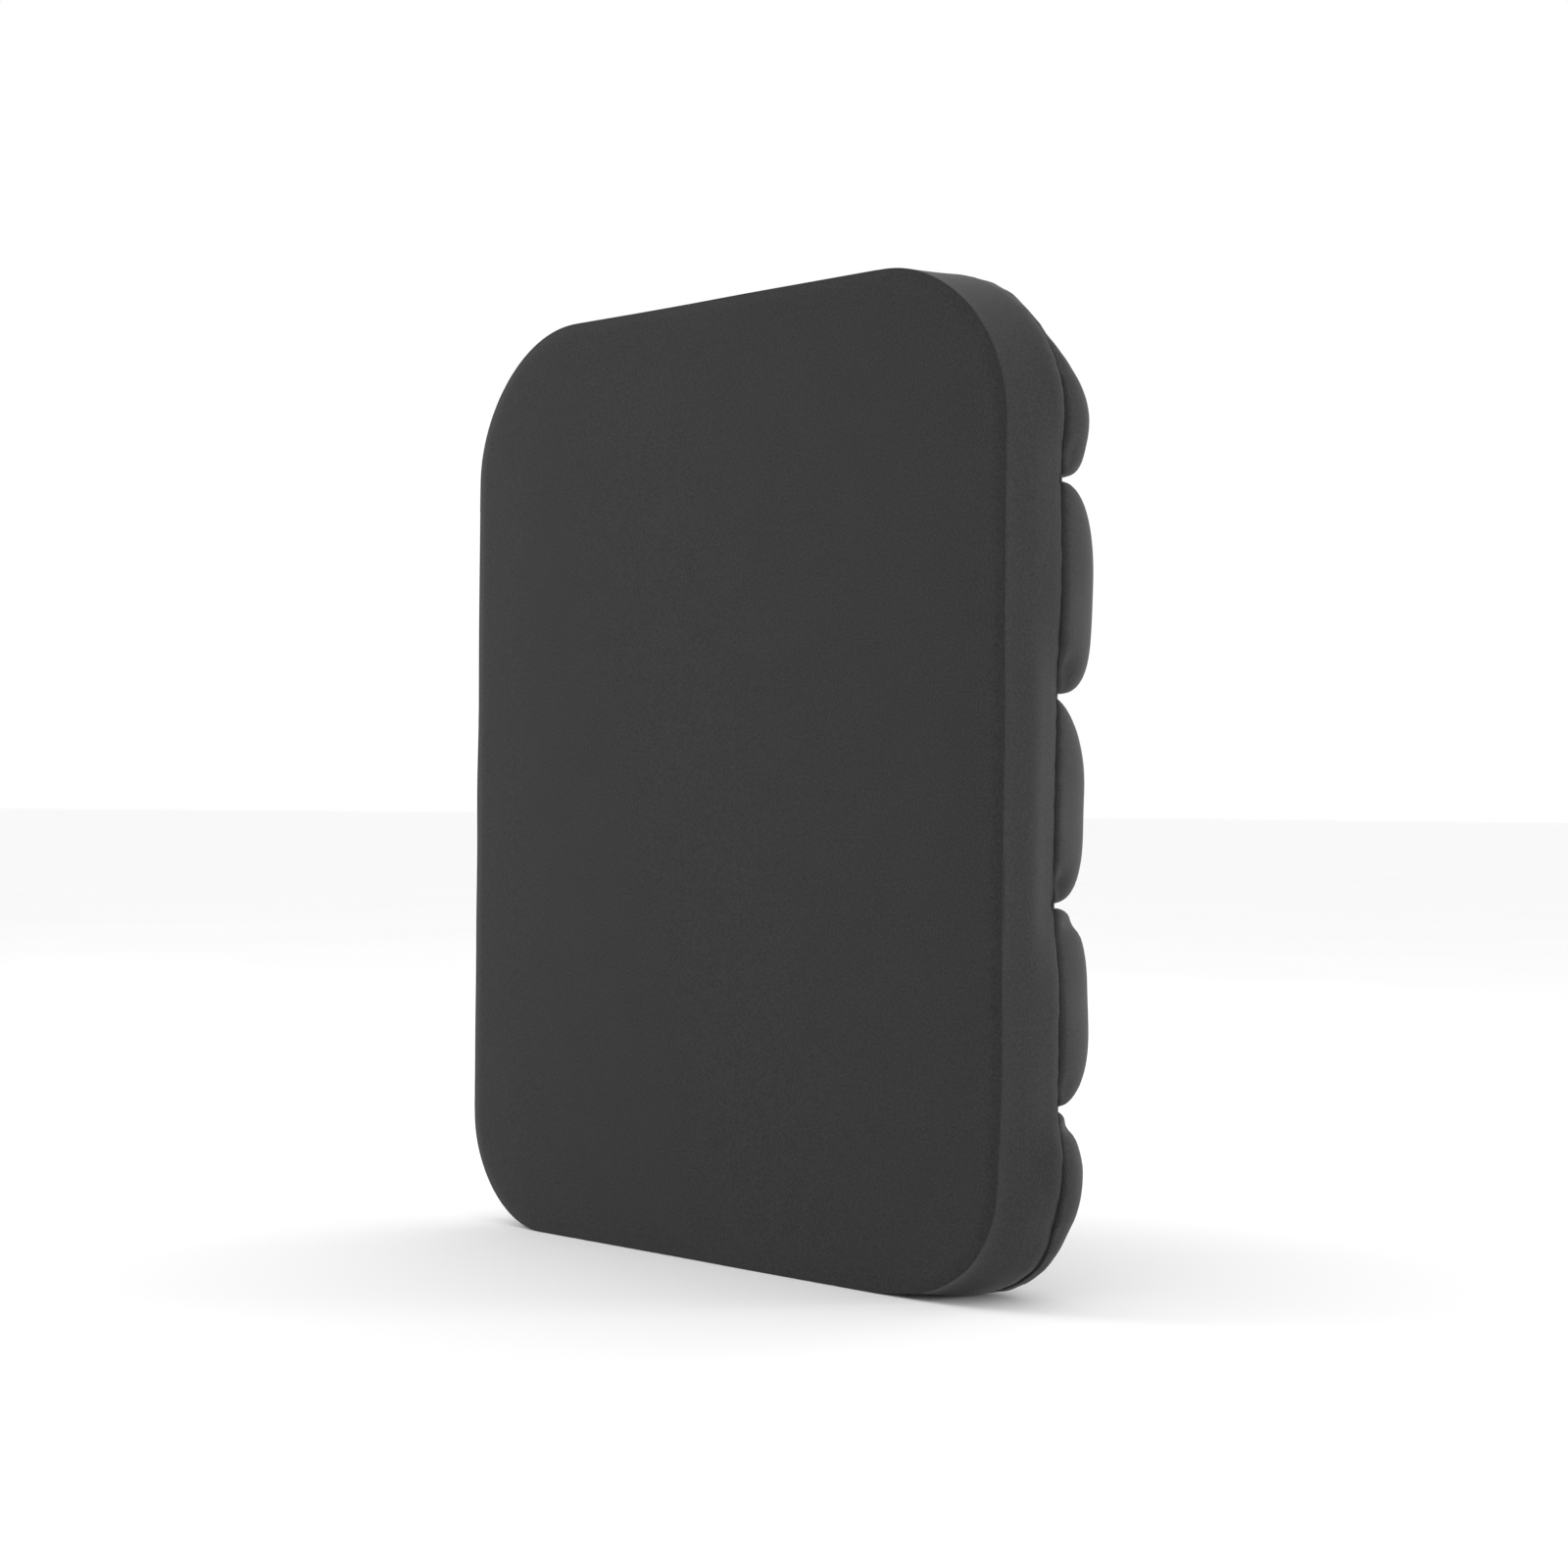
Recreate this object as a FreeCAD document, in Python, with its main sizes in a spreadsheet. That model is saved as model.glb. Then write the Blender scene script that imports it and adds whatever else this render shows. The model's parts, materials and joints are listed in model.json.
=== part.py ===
import FreeCAD, Part
import math
import os
import Sketcher

# Quilted booster cushion, in millimetres. It stands on its short bottom end.
# +Z runs up the cushion's length, +X across its width, and +Y from the flat
# underside to the quilted seat side. The origin is at the middle of its footprint.

doc = FreeCAD.newDocument("booster_cushion")

SIZES = [
    # the cushion as a whole
    ("cushion_length", 400.0),
    ("cushion_width", 324.0),
    ("gusset_depth", 32.0),
    ("crown_height", 28.0),
    ("top_corner_radius", 66.0),
    ("bottom_corner_radius", 47.0),
    # cover cloth and inner layers
    ("cloth_thickness", 1.6),
    ("lining_thickness", 0.8),
    ("soft_gap", 0.3),
    # quilted cells
    ("edge_margin", 3.0),
    ("channel_width", 6.0),
    ("cell_rounding", 14.0),
    # zip in the left gusset
    ("zip_end_margin", 12.0),
    ("zip_slot_width", 10.0),
    ("hem_width", 5.0),
    ("tape_width", 11.0),
    ("tape_thickness", 0.6),
    ("tape_tuck", 10.0),
    ("teeth_gap", 1.2),
    ("teeth_width", 1.9),
    ("teeth_height", 1.8),
    ("teeth_end_margin", 4.0),
    ("stop_length", 2.5),
    ("stop_overlap", 0.9),
    # slider and pull tab
    ("slider_length", 11.0),
    ("slider_width", 8.2),
    ("plate_thickness", 1.3),
    ("plate_rounding", 1.8),
    ("slide_gap", 0.3),
    ("wedge_length", 3.0),
    ("wedge_thickness", 0.7),
    ("ear_spacing", 4.0),
    ("ear_thickness", 1.0),
    ("ear_radius", 1.3),
    ("pin_radius", 0.6),
    ("pin_play", 0.08),
    ("pin_rise", 1.6),
    ("pin_height", 6.6),
    ("tab_length", 22.0),
    ("tab_width", 6.0),
    ("tab_thickness", 1.2),
    ("tab_rounding", 2.4),
    ("tab_neck", 3.2),
    ("tab_side_play", 0.2),
]
ROWS = 5
COLUMNS = 4

# How far a cutting block runs past the face that it cuts through, and how near counts as touching.
PAST = 1
TOUCH = 1e-6

sheet = doc.addObject("Spreadsheet::Sheet", "Sizes")
for row, (alias, value) in enumerate(SIZES, start=1):
    sheet.set(f"A{row}", alias)
    sheet.set(f"B{row}", str(value))
    sheet.setAlias(f"B{row}", alias)
doc.recompute()


def value(expression):
    """The number that an expression on the sheet comes to."""
    return float(sheet.evalExpression(expression))


# Places worked out from the sizes, as expressions. Levels are Y, stacked from the underside.
UNDERSIDE = "(0 - (Sizes.gusset_depth + Sizes.crown_height) / 2)"
SLAB_BASE = f"({UNDERSIDE} + Sizes.cloth_thickness)"
WEB_TOP = f"({UNDERSIDE} + Sizes.gusset_depth)"
WEB_BASE = f"({WEB_TOP} - Sizes.cloth_thickness)"
LINING_BASE = f"({WEB_BASE} - Sizes.lining_thickness)"
CROWN_TOP = f"({WEB_TOP} + Sizes.crown_height)"
LEFT_FACE = "(0 - Sizes.cushion_width / 2)"
INSIDE_COVER = "(Sizes.cloth_thickness + Sizes.soft_gap)"

# The zip: its middle height in the gusset, its ends, and its layers from the outside in.
ZIP_MIDDLE = f"({UNDERSIDE} + Sizes.gusset_depth / 2)"
WINDOW_LOW = "(Sizes.bottom_corner_radius + Sizes.zip_end_margin)"
WINDOW_HIGH = "(Sizes.cushion_length - Sizes.top_corner_radius - Sizes.zip_end_margin)"
TEETH_LOW = f"({WINDOW_LOW} + Sizes.teeth_end_margin)"
TEETH_HIGH = f"({WINDOW_HIGH} - Sizes.teeth_end_margin)"
TAPE_FACE = f"({LEFT_FACE} + 2 * Sizes.cloth_thickness)"
TEETH_FACE = f"({TAPE_FACE} - Sizes.teeth_height)"
PLATE_FACE = f"({TEETH_FACE} - Sizes.slide_gap - Sizes.plate_thickness)"
INNER_PLATE_FACE = f"({TAPE_FACE} + Sizes.tape_thickness + Sizes.slide_gap)"
SLIDER_BACK = f"({INNER_PLATE_FACE} + Sizes.plate_thickness)"
SLIDER_LOW = f"({TEETH_LOW} + Sizes.slide_gap)"
PIN_X = f"({PLATE_FACE} - Sizes.pin_rise)"
PIN_Z = f"({SLIDER_LOW} + Sizes.pin_height)"


def bind(item, **expressions):
    """Ties properties to expressions; a double underscore in a name stands for a dot."""
    for name, expression in expressions.items():
        item.setExpression(name.replace("__", "."), str(expression))
    return item


def place(item, x, y, z):
    return bind(item, Placement__Base__x=x, Placement__Base__y=y, Placement__Base__z=z)


def block(name, low, spans):
    """A box from its low corner and its three spans, each an expression."""
    item = doc.addObject("Part::Box", name)
    bind(item, Length=spans[0], Width=spans[1], Height=spans[2])
    return place(item, *low)


def cylinder_along_y(name, radius, length, x, y, z):
    """A cylinder that starts at (x, y, z) and runs towards +Y."""
    item = doc.addObject("Part::Cylinder", name)
    item.Placement.Rotation = FreeCAD.Rotation(FreeCAD.Vector(1, 0, 0), -90)
    bind(item, Radius=radius, Height=length)
    return place(item, x, y, z)


def boolean(kind, name, first, second):
    """kind is Cut, Fuse or Common."""
    item = doc.addObject(f"Part::{kind}", name)
    item.Base = first
    item.Tool = second
    item.Refine = kind != "Common"
    return item


def join(name, pieces):
    item = doc.addObject("Part::MultiFuse", name)
    item.Shapes = pieces
    item.Refine = True
    return item


def rounded(name, base, radius, wanted):
    """Rounds the edges of base that the test wanted picks."""
    doc.recompute([base])
    numbers = [n for n, edge in enumerate(base.Shape.Edges, start=1) if wanted(edge)]
    item = doc.addObject("Part::Fillet", name)
    item.Base = base
    item.Edges = [(number, radius, radius) for number in numbers]
    return item


def runs_along(edge, axis):
    ends = [vertex.Point for vertex in edge.Vertexes]
    return len(ends) == 2 and abs(abs((ends[1] - ends[0]).normalize()[axis]) - 1) < TOUCH


# ---------------------------------------------------------------- outline plates


def origin_plane(body, role):
    return next(item for item in body.Origin.OriginFeatures if item.Role == role)


def outline_sketch(body, name, level, inset):
    """The cushion's rounded outline, moved in by inset, at the height level."""
    sketch = body.newObject("Sketcher::SketchObject", name)
    sketch.AttachmentSupport = (origin_plane(body, "XZ_Plane"), [""])
    sketch.MapMode = "FlatFace"
    bind(sketch, AttachmentOffset__Base__z=f"0 - {level}")
    add_outline(sketch, inset)
    return sketch


def add_outline(sketch, inset):
    half_width = value("Sizes.cushion_width / 2")
    length = value("Sizes.cushion_length")
    bottom_radius = value("Sizes.bottom_corner_radius")
    top_radius = value("Sizes.top_corner_radius")
    corners = [
        (half_width - bottom_radius, bottom_radius, bottom_radius, -90),
        (half_width - top_radius, length - top_radius, top_radius, 0),
        (top_radius - half_width, length - top_radius, top_radius, 90),
        (bottom_radius - half_width, bottom_radius, bottom_radius, 180),
    ]
    normal = FreeCAD.Vector(0, 0, 1)
    arcs = []
    for x, z, radius, start in corners:
        circle = Part.Circle(FreeCAD.Vector(x, z, 0), normal, radius)
        arc = Part.ArcOfCircle(circle, math.radians(start), math.radians(start + 90))
        arcs.append(sketch.addGeometry(arc, False))
    lines = []
    for index, arc in enumerate(arcs):
        start = sketch.getPoint(arc, 2)
        end = sketch.getPoint(arcs[(index + 1) % 4], 1)
        lines.append(sketch.addGeometry(Part.LineSegment(start, end), False))
    for index in range(4):
        sketch.addConstraint(Sketcher.Constraint("Tangent", arcs[index], 2, lines[index], 1))
        sketch.addConstraint(Sketcher.Constraint("Tangent", lines[index], 2, arcs[(index + 1) % 4], 1))
    right, top, left, bottom = lines
    for line in (top, bottom):
        sketch.addConstraint(Sketcher.Constraint("Horizontal", line))
    for line in (right, left):
        sketch.addConstraint(Sketcher.Constraint("Vertical", line))

    def dimension(constraint, expression):
        number = sketch.addConstraint(constraint)
        sketch.setExpression(f"Constraints[{number}]", expression)

    for arc in (arcs[0], arcs[3]):
        rule = f"Sizes.bottom_corner_radius - {inset}"
        dimension(Sketcher.Constraint("Radius", arc, bottom_radius), rule)
    for arc in (arcs[1], arcs[2]):
        rule = f"Sizes.top_corner_radius - {inset}"
        dimension(Sketcher.Constraint("Radius", arc, top_radius), rule)
    half_rule = f"Sizes.cushion_width / 2 - {inset}"
    dimension(Sketcher.Constraint("DistanceX", -1, 1, right, 1, half_width), half_rule)
    dimension(Sketcher.Constraint("DistanceX", left, 1, -1, 1, half_width), half_rule)
    dimension(Sketcher.Constraint("DistanceY", -1, 1, top, 1, length), f"Sizes.cushion_length - {inset}")
    # The base line is built on the axis, and a zero distance can't be driven, so an inset
    # outline is measured down from its own top line instead.
    span = Sketcher.Constraint("DistanceY", bottom, 1, top, 1, length)
    dimension(span, f"Sizes.cushion_length - 2 * {inset}")


def outline_plate(name, level, thickness, inset, hollow=None):
    """A flat piece in the cushion's outline; hollow is a second inset that cuts its middle out."""
    body = doc.addObject("PartDesign::Body", name)
    sketch = outline_sketch(body, f"{name}_outline", level, inset)
    if hollow:
        add_outline(sketch, hollow)
    pad = body.newObject("PartDesign::Pad", f"{name}_pad")
    pad.Profile = sketch
    pad.Reversed = True
    bind(pad, Length=thickness)
    sketch.Visibility = False
    return body


underside_panel = outline_plate("underside_panel", UNDERSIDE, "Sizes.cloth_thickness", "0")

# The firm slab and the lining on it fill the cover, and are relieved on the left behind the zip.
slab_depth = f"{LINING_BASE} - {SLAB_BASE}"
slab_blank = outline_plate("slab_blank", SLAB_BASE, slab_depth, INSIDE_COVER)
lining_blank = outline_plate("lining_blank", LINING_BASE, "Sizes.lining_thickness", INSIDE_COVER)
tape_length = f"({WINDOW_HIGH} - {WINDOW_LOW} + 2 * Sizes.tape_tuck)"
relief = block(
    "zip_relief",
    (LEFT_FACE, UNDERSIDE, f"{WINDOW_LOW} - Sizes.tape_tuck - Sizes.slide_gap"),
    (
        f"{SLIDER_BACK} + Sizes.slide_gap - {LEFT_FACE}",
        "Sizes.gusset_depth",
        f"{tape_length} + 2 * Sizes.slide_gap",
    ),
)
foam_base_slab = boolean("Cut", "foam_base_slab", slab_blank, relief)
quilt_lining = boolean("Cut", "quilt_lining", lining_blank, relief)

# ---------------------------------------------------------------- gusset

band_depth = f"({WEB_BASE} - {SLAB_BASE})"
window_length = f"({WINDOW_HIGH} - {WINDOW_LOW})"
band_ring = outline_plate("band_ring", SLAB_BASE, band_depth, "0", hollow="Sizes.cloth_thickness")
window = block(
    "band_window",
    (f"{LEFT_FACE} - {PAST}", UNDERSIDE, WINDOW_LOW),
    (f"Sizes.cloth_thickness + 2 * {PAST}", "Sizes.gusset_depth", window_length),
)
gusset_band = boolean("Cut", "gusset_band", band_ring, window)


def zip_strip(name, side):
    """One of the gusset's two strips beside the zip; its free edge is turned in as a hem."""
    slot_edge = f"({ZIP_MIDDLE} + {side} * Sizes.zip_slot_width / 2)"
    if side < 0:
        face_low = SLAB_BASE
        face_span = f"{slot_edge} - {SLAB_BASE}"
        hem_low = f"{slot_edge} - Sizes.hem_width"
    else:
        face_low = slot_edge
        face_span = f"{WEB_BASE} - {slot_edge}"
        hem_low = slot_edge
    face = block(
        f"{name}_face",
        (LEFT_FACE, face_low, WINDOW_LOW),
        ("Sizes.cloth_thickness", face_span, window_length),
    )
    hem = block(
        f"{name}_hem",
        (LEFT_FACE, hem_low, WINDOW_LOW),
        ("2 * Sizes.cloth_thickness", "Sizes.hem_width", window_length),
    )
    return boolean("Fuse", name, face, hem)


gusset_strip_lower = zip_strip("gusset_strip_lower", -1)
gusset_strip_upper = zip_strip("gusset_strip_upper", 1)

# ---------------------------------------------------------------- quilted cells


def cell_span(count, whole):
    return f"((Sizes.{whole} - 2 * Sizes.edge_margin - {count - 1} * Sizes.channel_width) / {count})"


CELL_WIDTH = cell_span(COLUMNS, "cushion_width")
CELL_LENGTH = cell_span(ROWS, "cushion_length")


def cell_mould(name, inset):
    """The space that all cells together may fill, with its top edge rounded over."""
    depth = f"{CROWN_TOP} - {inset} - {WEB_BASE}"
    body = outline_plate(name, WEB_BASE, depth, f"(Sizes.edge_margin + {inset})")
    doc.recompute()
    pad = body.Tip
    top = pad.Shape.BoundBox.YMax
    loop = [
        f"Edge{number}"
        for number, edge in enumerate(pad.Shape.Edges, start=1)
        if abs(edge.BoundBox.YMin - top) < TOUCH
    ]
    over = body.newObject("PartDesign::Fillet", f"{name}_over")
    over.Base = (pad, loop)
    bind(over, Radius=f"Sizes.cell_rounding - {inset}")
    body.Tip = over
    return body


def cell_start(index, span, first, inset):
    return f"({first} + {index} * ({span} + Sizes.channel_width) + {inset})"


def cell(name, row, column, inset, mould):
    """The cell at a row, counted from the bottom, and a column, counted from the left."""
    # A side on the cushion's rim runs on past the mould, which then shapes it.
    past = f"(Sizes.cell_rounding + {PAST})"
    first_x = f"{LEFT_FACE} + Sizes.edge_margin"
    low_x = cell_start(column, CELL_WIDTH, first_x, inset)
    low_z = cell_start(row, CELL_LENGTH, "Sizes.edge_margin", inset)
    span_x = f"{CELL_WIDTH} - 2 * {inset}"
    span_z = f"{CELL_LENGTH} - 2 * {inset}"
    if column == 0:
        low_x = f"{low_x} - {past}"
    if row == 0:
        low_z = f"{low_z} - {past}"
    if column in (0, COLUMNS - 1):
        span_x = f"{span_x} + {past}"
    if row in (0, ROWS - 1):
        span_z = f"{span_z} + {past}"
    blank = block(
        f"{name}_blank",
        (low_x, WEB_BASE, low_z),
        (span_x, f"{CROWN_TOP} - {inset} - {WEB_BASE}", span_z),
    )
    doc.recompute([blank])
    base = blank.Shape.BoundBox.YMin
    radius = value(f"Sizes.cell_rounding - {inset}")
    soft = rounded(f"{name}_soft", blank, radius, lambda edge: edge.BoundBox.YMax > base + TOUCH)
    return boolean("Common", name, soft, mould)


# How deep each layer of a cell lies inside the cushion's outer surface.
SKIN = "0"
POCKET = "Sizes.cloth_thickness"
FILL = INSIDE_COVER


def cell_grid(prefix, inset):
    mould = cell_mould(f"{prefix}_mould", inset)
    cells = []
    for row in range(ROWS):
        for column in range(COLUMNS):
            cells.append(cell(f"{prefix}_r{row + 1}_c{column + 1}", row, column, inset, mould))
    return cells


cell_pads = cell_grid("cell_pad", FILL)

# The seat panel is one sheet: a flat web in the channels, raised into a pocket over each pad.
panel_web = outline_plate("panel_web", WEB_BASE, "Sizes.cloth_thickness", "0")
panel_outside = join("panel_outside", [panel_web] + cell_grid("panel_skin", SKIN))
panel_inside = join("panel_inside", cell_grid("panel_pocket", POCKET))
seat_panel = boolean("Cut", "seat_panel", panel_outside, panel_inside)

# ---------------------------------------------------------------- zip


def zip_side(side, near, span):
    """Where a piece starts in Y on one side of the zip's middle: near is its inner edge."""
    if side < 0:
        return f"{ZIP_MIDDLE} - {near} - {span}"
    return f"{ZIP_MIDDLE} + {near}"


def zip_tape(name, side):
    low_y = zip_side(side, "Sizes.teeth_gap / 2", "Sizes.tape_width")
    return block(
        name,
        (TAPE_FACE, low_y, f"{WINDOW_LOW} - Sizes.tape_tuck"),
        ("Sizes.tape_thickness", "Sizes.tape_width", tape_length),
    )


def zip_teeth(name, side):
    """The row of coil teeth on one tape, as the bar that the coil fills."""
    low_y = zip_side(side, "Sizes.teeth_gap / 2", "Sizes.teeth_width")
    return block(
        name,
        (TEETH_FACE, low_y, TEETH_LOW),
        ("Sizes.teeth_height", "Sizes.teeth_width", f"{TEETH_HIGH} - {TEETH_LOW}"),
    )


STOP_FACE = f"({TEETH_FACE} - Sizes.stop_overlap)"
STOP_WIDTH = "(Sizes.teeth_width + Sizes.stop_overlap)"


def end_stop(name, side):
    """A stop on one row of teeth, where the closed slider rests."""
    low_y = zip_side(side, "Sizes.teeth_gap / 2", STOP_WIDTH)
    return block(
        name,
        (STOP_FACE, low_y, f"{TEETH_LOW} - Sizes.stop_length"),
        (f"{TAPE_FACE} - {STOP_FACE}", STOP_WIDTH, "Sizes.stop_length"),
    )


zip_tape_lower = zip_tape("zip_tape_lower", -1)
zip_tape_upper = zip_tape("zip_tape_upper", 1)
zip_teeth_lower = zip_teeth("zip_teeth_lower", -1)
zip_teeth_upper = zip_teeth("zip_teeth_upper", 1)
zip_end_stop_lower = end_stop("zip_end_stop_lower", -1)
zip_end_stop_upper = end_stop("zip_end_stop_upper", 1)

# One wider stop ties both rows where the zip starts to close.
zip_start_stop = block(
    "zip_start_stop",
    (STOP_FACE, f"{ZIP_MIDDLE} - Sizes.teeth_gap / 2 - {STOP_WIDTH}", TEETH_HIGH),
    (f"{TAPE_FACE} - {STOP_FACE}", f"Sizes.teeth_gap + 2 * {STOP_WIDTH}", "Sizes.stop_length"),
)


def end_tab(name, low_z):
    """A cloth patch between the band and the tapes' tucked ends."""
    tab_width = "(Sizes.teeth_gap + 2 * Sizes.tape_width)"
    return block(
        name,
        (f"{LEFT_FACE} + Sizes.cloth_thickness", f"{ZIP_MIDDLE} - {tab_width} / 2", low_z),
        ("Sizes.cloth_thickness", tab_width, "Sizes.tape_tuck"),
    )


zip_end_patch_bottom = end_tab("zip_end_patch_bottom", f"{WINDOW_LOW} - Sizes.tape_tuck")
zip_end_patch_top = end_tab("zip_end_patch_top", WINDOW_HIGH)

# ---------------------------------------------------------------- slider and pull tab


def slider():
    """Two plates joined by a wedge, open between them for teeth and tapes, with a pin on ears."""
    half_width = "Sizes.slider_width / 2"
    blank = block(
        "slider_blank",
        (PLATE_FACE, f"{ZIP_MIDDLE} - {half_width}", SLIDER_LOW),
        (f"{SLIDER_BACK} - {PLATE_FACE}", "Sizes.slider_width", "Sizes.slider_length"),
    )
    soft = rounded("slider_soft", blank, value("Sizes.plate_rounding"), lambda edge: runs_along(edge, 0))
    through = f"Sizes.slider_length + 2 * {PAST}"
    channel_half = "(Sizes.teeth_gap / 2 + Sizes.teeth_width + Sizes.slide_gap)"
    channel_face = f"({PLATE_FACE} + Sizes.plate_thickness)"
    channel = block(
        "slider_channel",
        (channel_face, f"{ZIP_MIDDLE} - {channel_half}", f"{SLIDER_LOW} - {PAST}"),
        (f"{INNER_PLATE_FACE} - {channel_face}", f"2 * {channel_half}", through),
    )
    slot_face = f"({TAPE_FACE} - Sizes.slide_gap)"
    slot = block(
        "slider_slot",
        (slot_face, f"{ZIP_MIDDLE} - Sizes.slider_width", f"{SLIDER_LOW} - {PAST}"),
        (f"{INNER_PLATE_FACE} - {slot_face}", "2 * Sizes.slider_width", through),
    )
    hollowed = boolean("Cut", "slider_hollowed", soft, channel)
    plates = boolean("Cut", "slider_plates", hollowed, slot)
    wedge = block(
        "slider_wedge",
        (PLATE_FACE, f"{ZIP_MIDDLE} - Sizes.wedge_thickness / 2", SLIDER_LOW),
        (f"{SLIDER_BACK} - {PLATE_FACE}", "Sizes.wedge_thickness", "Sizes.wedge_length"),
    )
    pieces = [plates, wedge]
    for name, side in (("near", -1), ("far", 1)):
        low_y = zip_side(side, "Sizes.ear_spacing / 2", "Sizes.ear_thickness")
        post = block(
            f"slider_ear_{name}_post",
            (PIN_X, low_y, f"{PIN_Z} - Sizes.ear_radius"),
            (f"{PLATE_FACE} - {PIN_X}", "Sizes.ear_thickness", "2 * Sizes.ear_radius"),
        )
        crown = cylinder_along_y(
            f"slider_ear_{name}_crown", "Sizes.ear_radius", "Sizes.ear_thickness", PIN_X, low_y, PIN_Z
        )
        pieces += [post, crown]
    pin_reach = "(Sizes.ear_spacing / 2 + Sizes.ear_thickness / 2)"
    pin = cylinder_along_y(
        "slider_pin", "Sizes.pin_radius", f"2 * {pin_reach}", PIN_X, f"{ZIP_MIDDLE} - {pin_reach}", PIN_Z
    )
    return join("zip_slider", pieces + [pin])


def pull_tab():
    """A flat blade that hangs from an eye on the slider's pin."""
    neck_width = "(Sizes.ear_spacing - 2 * Sizes.tab_side_play)"
    eye = cylinder_along_y(
        "tab_eye", "Sizes.ear_radius", neck_width, PIN_X, f"{ZIP_MIDDLE} - {neck_width} / 2", PIN_Z
    )
    blade_face = f"{PIN_X} - Sizes.tab_thickness / 2"
    neck = block(
        "tab_neck_block",
        (blade_face, f"{ZIP_MIDDLE} - {neck_width} / 2", f"{PIN_Z} - Sizes.tab_neck - {PAST}"),
        ("Sizes.tab_thickness", neck_width, f"Sizes.tab_neck + {PAST}"),
    )
    blade = block(
        "tab_blade",
        (blade_face, f"{ZIP_MIDDLE} - Sizes.tab_width / 2", f"{PIN_Z} - Sizes.tab_length"),
        ("Sizes.tab_thickness", "Sizes.tab_width", "Sizes.tab_length - Sizes.tab_neck"),
    )
    blade_radius = value("Sizes.tab_rounding")
    soft_blade = rounded("tab_soft_blade", blade, blade_radius, lambda edge: runs_along(edge, 0))
    solid = join("tab_solid", [eye, neck, soft_blade])
    bore = cylinder_along_y(
        "tab_bore",
        "Sizes.pin_radius + Sizes.pin_play",
        f"{neck_width} + 2 * {PAST}",
        PIN_X,
        f"{ZIP_MIDDLE} - {neck_width} / 2 - {PAST}",
        PIN_Z,
    )
    return boolean("Cut", "zip_pull_tab", solid, bore)


zip_slider = slider()
zip_pull_tab = pull_tab()

# ---------------------------------------------------------------- check and export

doc.recompute()

sub_parts = [
    underside_panel,
    gusset_band,
    gusset_strip_lower,
    gusset_strip_upper,
    seat_panel,
    quilt_lining,
    foam_base_slab,
    *cell_pads,
    zip_tape_lower,
    zip_tape_upper,
    zip_teeth_lower,
    zip_teeth_upper,
    zip_end_stop_lower,
    zip_end_stop_upper,
    zip_start_stop,
    zip_end_patch_bottom,
    zip_end_patch_top,
    zip_slider,
    zip_pull_tab,
]

for item in doc.Objects:
    if "Invalid" in item.State or "Error" in item.State:
        raise RuntimeError(f"{item.Label} failed: {item.State}")
for item in sub_parts:
    if item.Shape.isNull() or not item.Shape.isValid():
        raise RuntimeError(f"{item.Label} has no valid shape")
    if len(item.Shape.Solids) != 1:
        raise RuntimeError(f"{item.Label} is {len(item.Shape.Solids)} solids, not 1")

os.makedirs("parts", exist_ok=True)
for item in sub_parts:
    item.Shape.exportStep(os.path.join("parts", f"{item.Label}.step"))
    print(f"{item.Label:24s} {item.Shape.Volume:12.2f} mm3")
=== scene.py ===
import json
import math

import bpy
import numpy as np
from mathutils import Matrix, Vector


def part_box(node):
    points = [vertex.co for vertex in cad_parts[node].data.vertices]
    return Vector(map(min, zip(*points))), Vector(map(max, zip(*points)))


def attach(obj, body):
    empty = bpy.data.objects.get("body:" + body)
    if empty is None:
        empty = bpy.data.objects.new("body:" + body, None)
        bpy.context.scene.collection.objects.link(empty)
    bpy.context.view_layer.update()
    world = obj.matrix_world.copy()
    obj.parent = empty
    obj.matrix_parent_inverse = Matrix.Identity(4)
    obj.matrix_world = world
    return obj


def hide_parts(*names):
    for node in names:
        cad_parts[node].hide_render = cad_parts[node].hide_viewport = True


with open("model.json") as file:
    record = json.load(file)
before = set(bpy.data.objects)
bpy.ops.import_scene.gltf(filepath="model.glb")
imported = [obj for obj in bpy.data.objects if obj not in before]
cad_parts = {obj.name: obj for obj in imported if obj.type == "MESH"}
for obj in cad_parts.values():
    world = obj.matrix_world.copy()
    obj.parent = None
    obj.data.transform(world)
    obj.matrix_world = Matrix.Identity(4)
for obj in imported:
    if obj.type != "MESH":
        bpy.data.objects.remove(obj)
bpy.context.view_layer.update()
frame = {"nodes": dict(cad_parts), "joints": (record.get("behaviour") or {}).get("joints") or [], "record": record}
MM = 0.001

# ---------------------------------------------------------------- the cushion's own measures
UNDER_LOW, UNDER_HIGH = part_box("underside_panel")
SEAT_LOW, SEAT_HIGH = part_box("seat_panel")
STRIP_LOW, STRIP_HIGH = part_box("gusset_strip_lower")
UPPER_STRIP_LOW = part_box("gusset_strip_upper")[0]
HALF = UNDER_HIGH.x
LENGTH = UNDER_HIGH.z
MIDDLE = LENGTH / 2
FACE_Y = UNDER_LOW.y
CLOTH = 1.4 * MM
WEB_Y = SEAT_LOW.y + 1.6 * MM
CROWN = SEAT_HIGH.y - WEB_Y
TOP_RADIUS = 66 * MM
BOTTOM_RADIUS = 47 * MM
WINDOW_LOW, WINDOW_HIGH = STRIP_LOW.z, STRIP_HIGH.z
SLOT_LOW, SLOT_HIGH = STRIP_HIGH.y, UPPER_STRIP_LOW.y
ROWS = 5
COLUMNS = 4
WEB = 1.0 * MM                  # half the flat sewn line at the bottom of a channel
FLANK = 23 * MM                 # how far in from the outline a cell reaches its full height
FLANK_ROUNDNESS = 2.1           # how square-shouldered a cell is where it meets the long sides
SIDE_PUFF = 1.3 * MM            # how far a cell swells out past the seam
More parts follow.
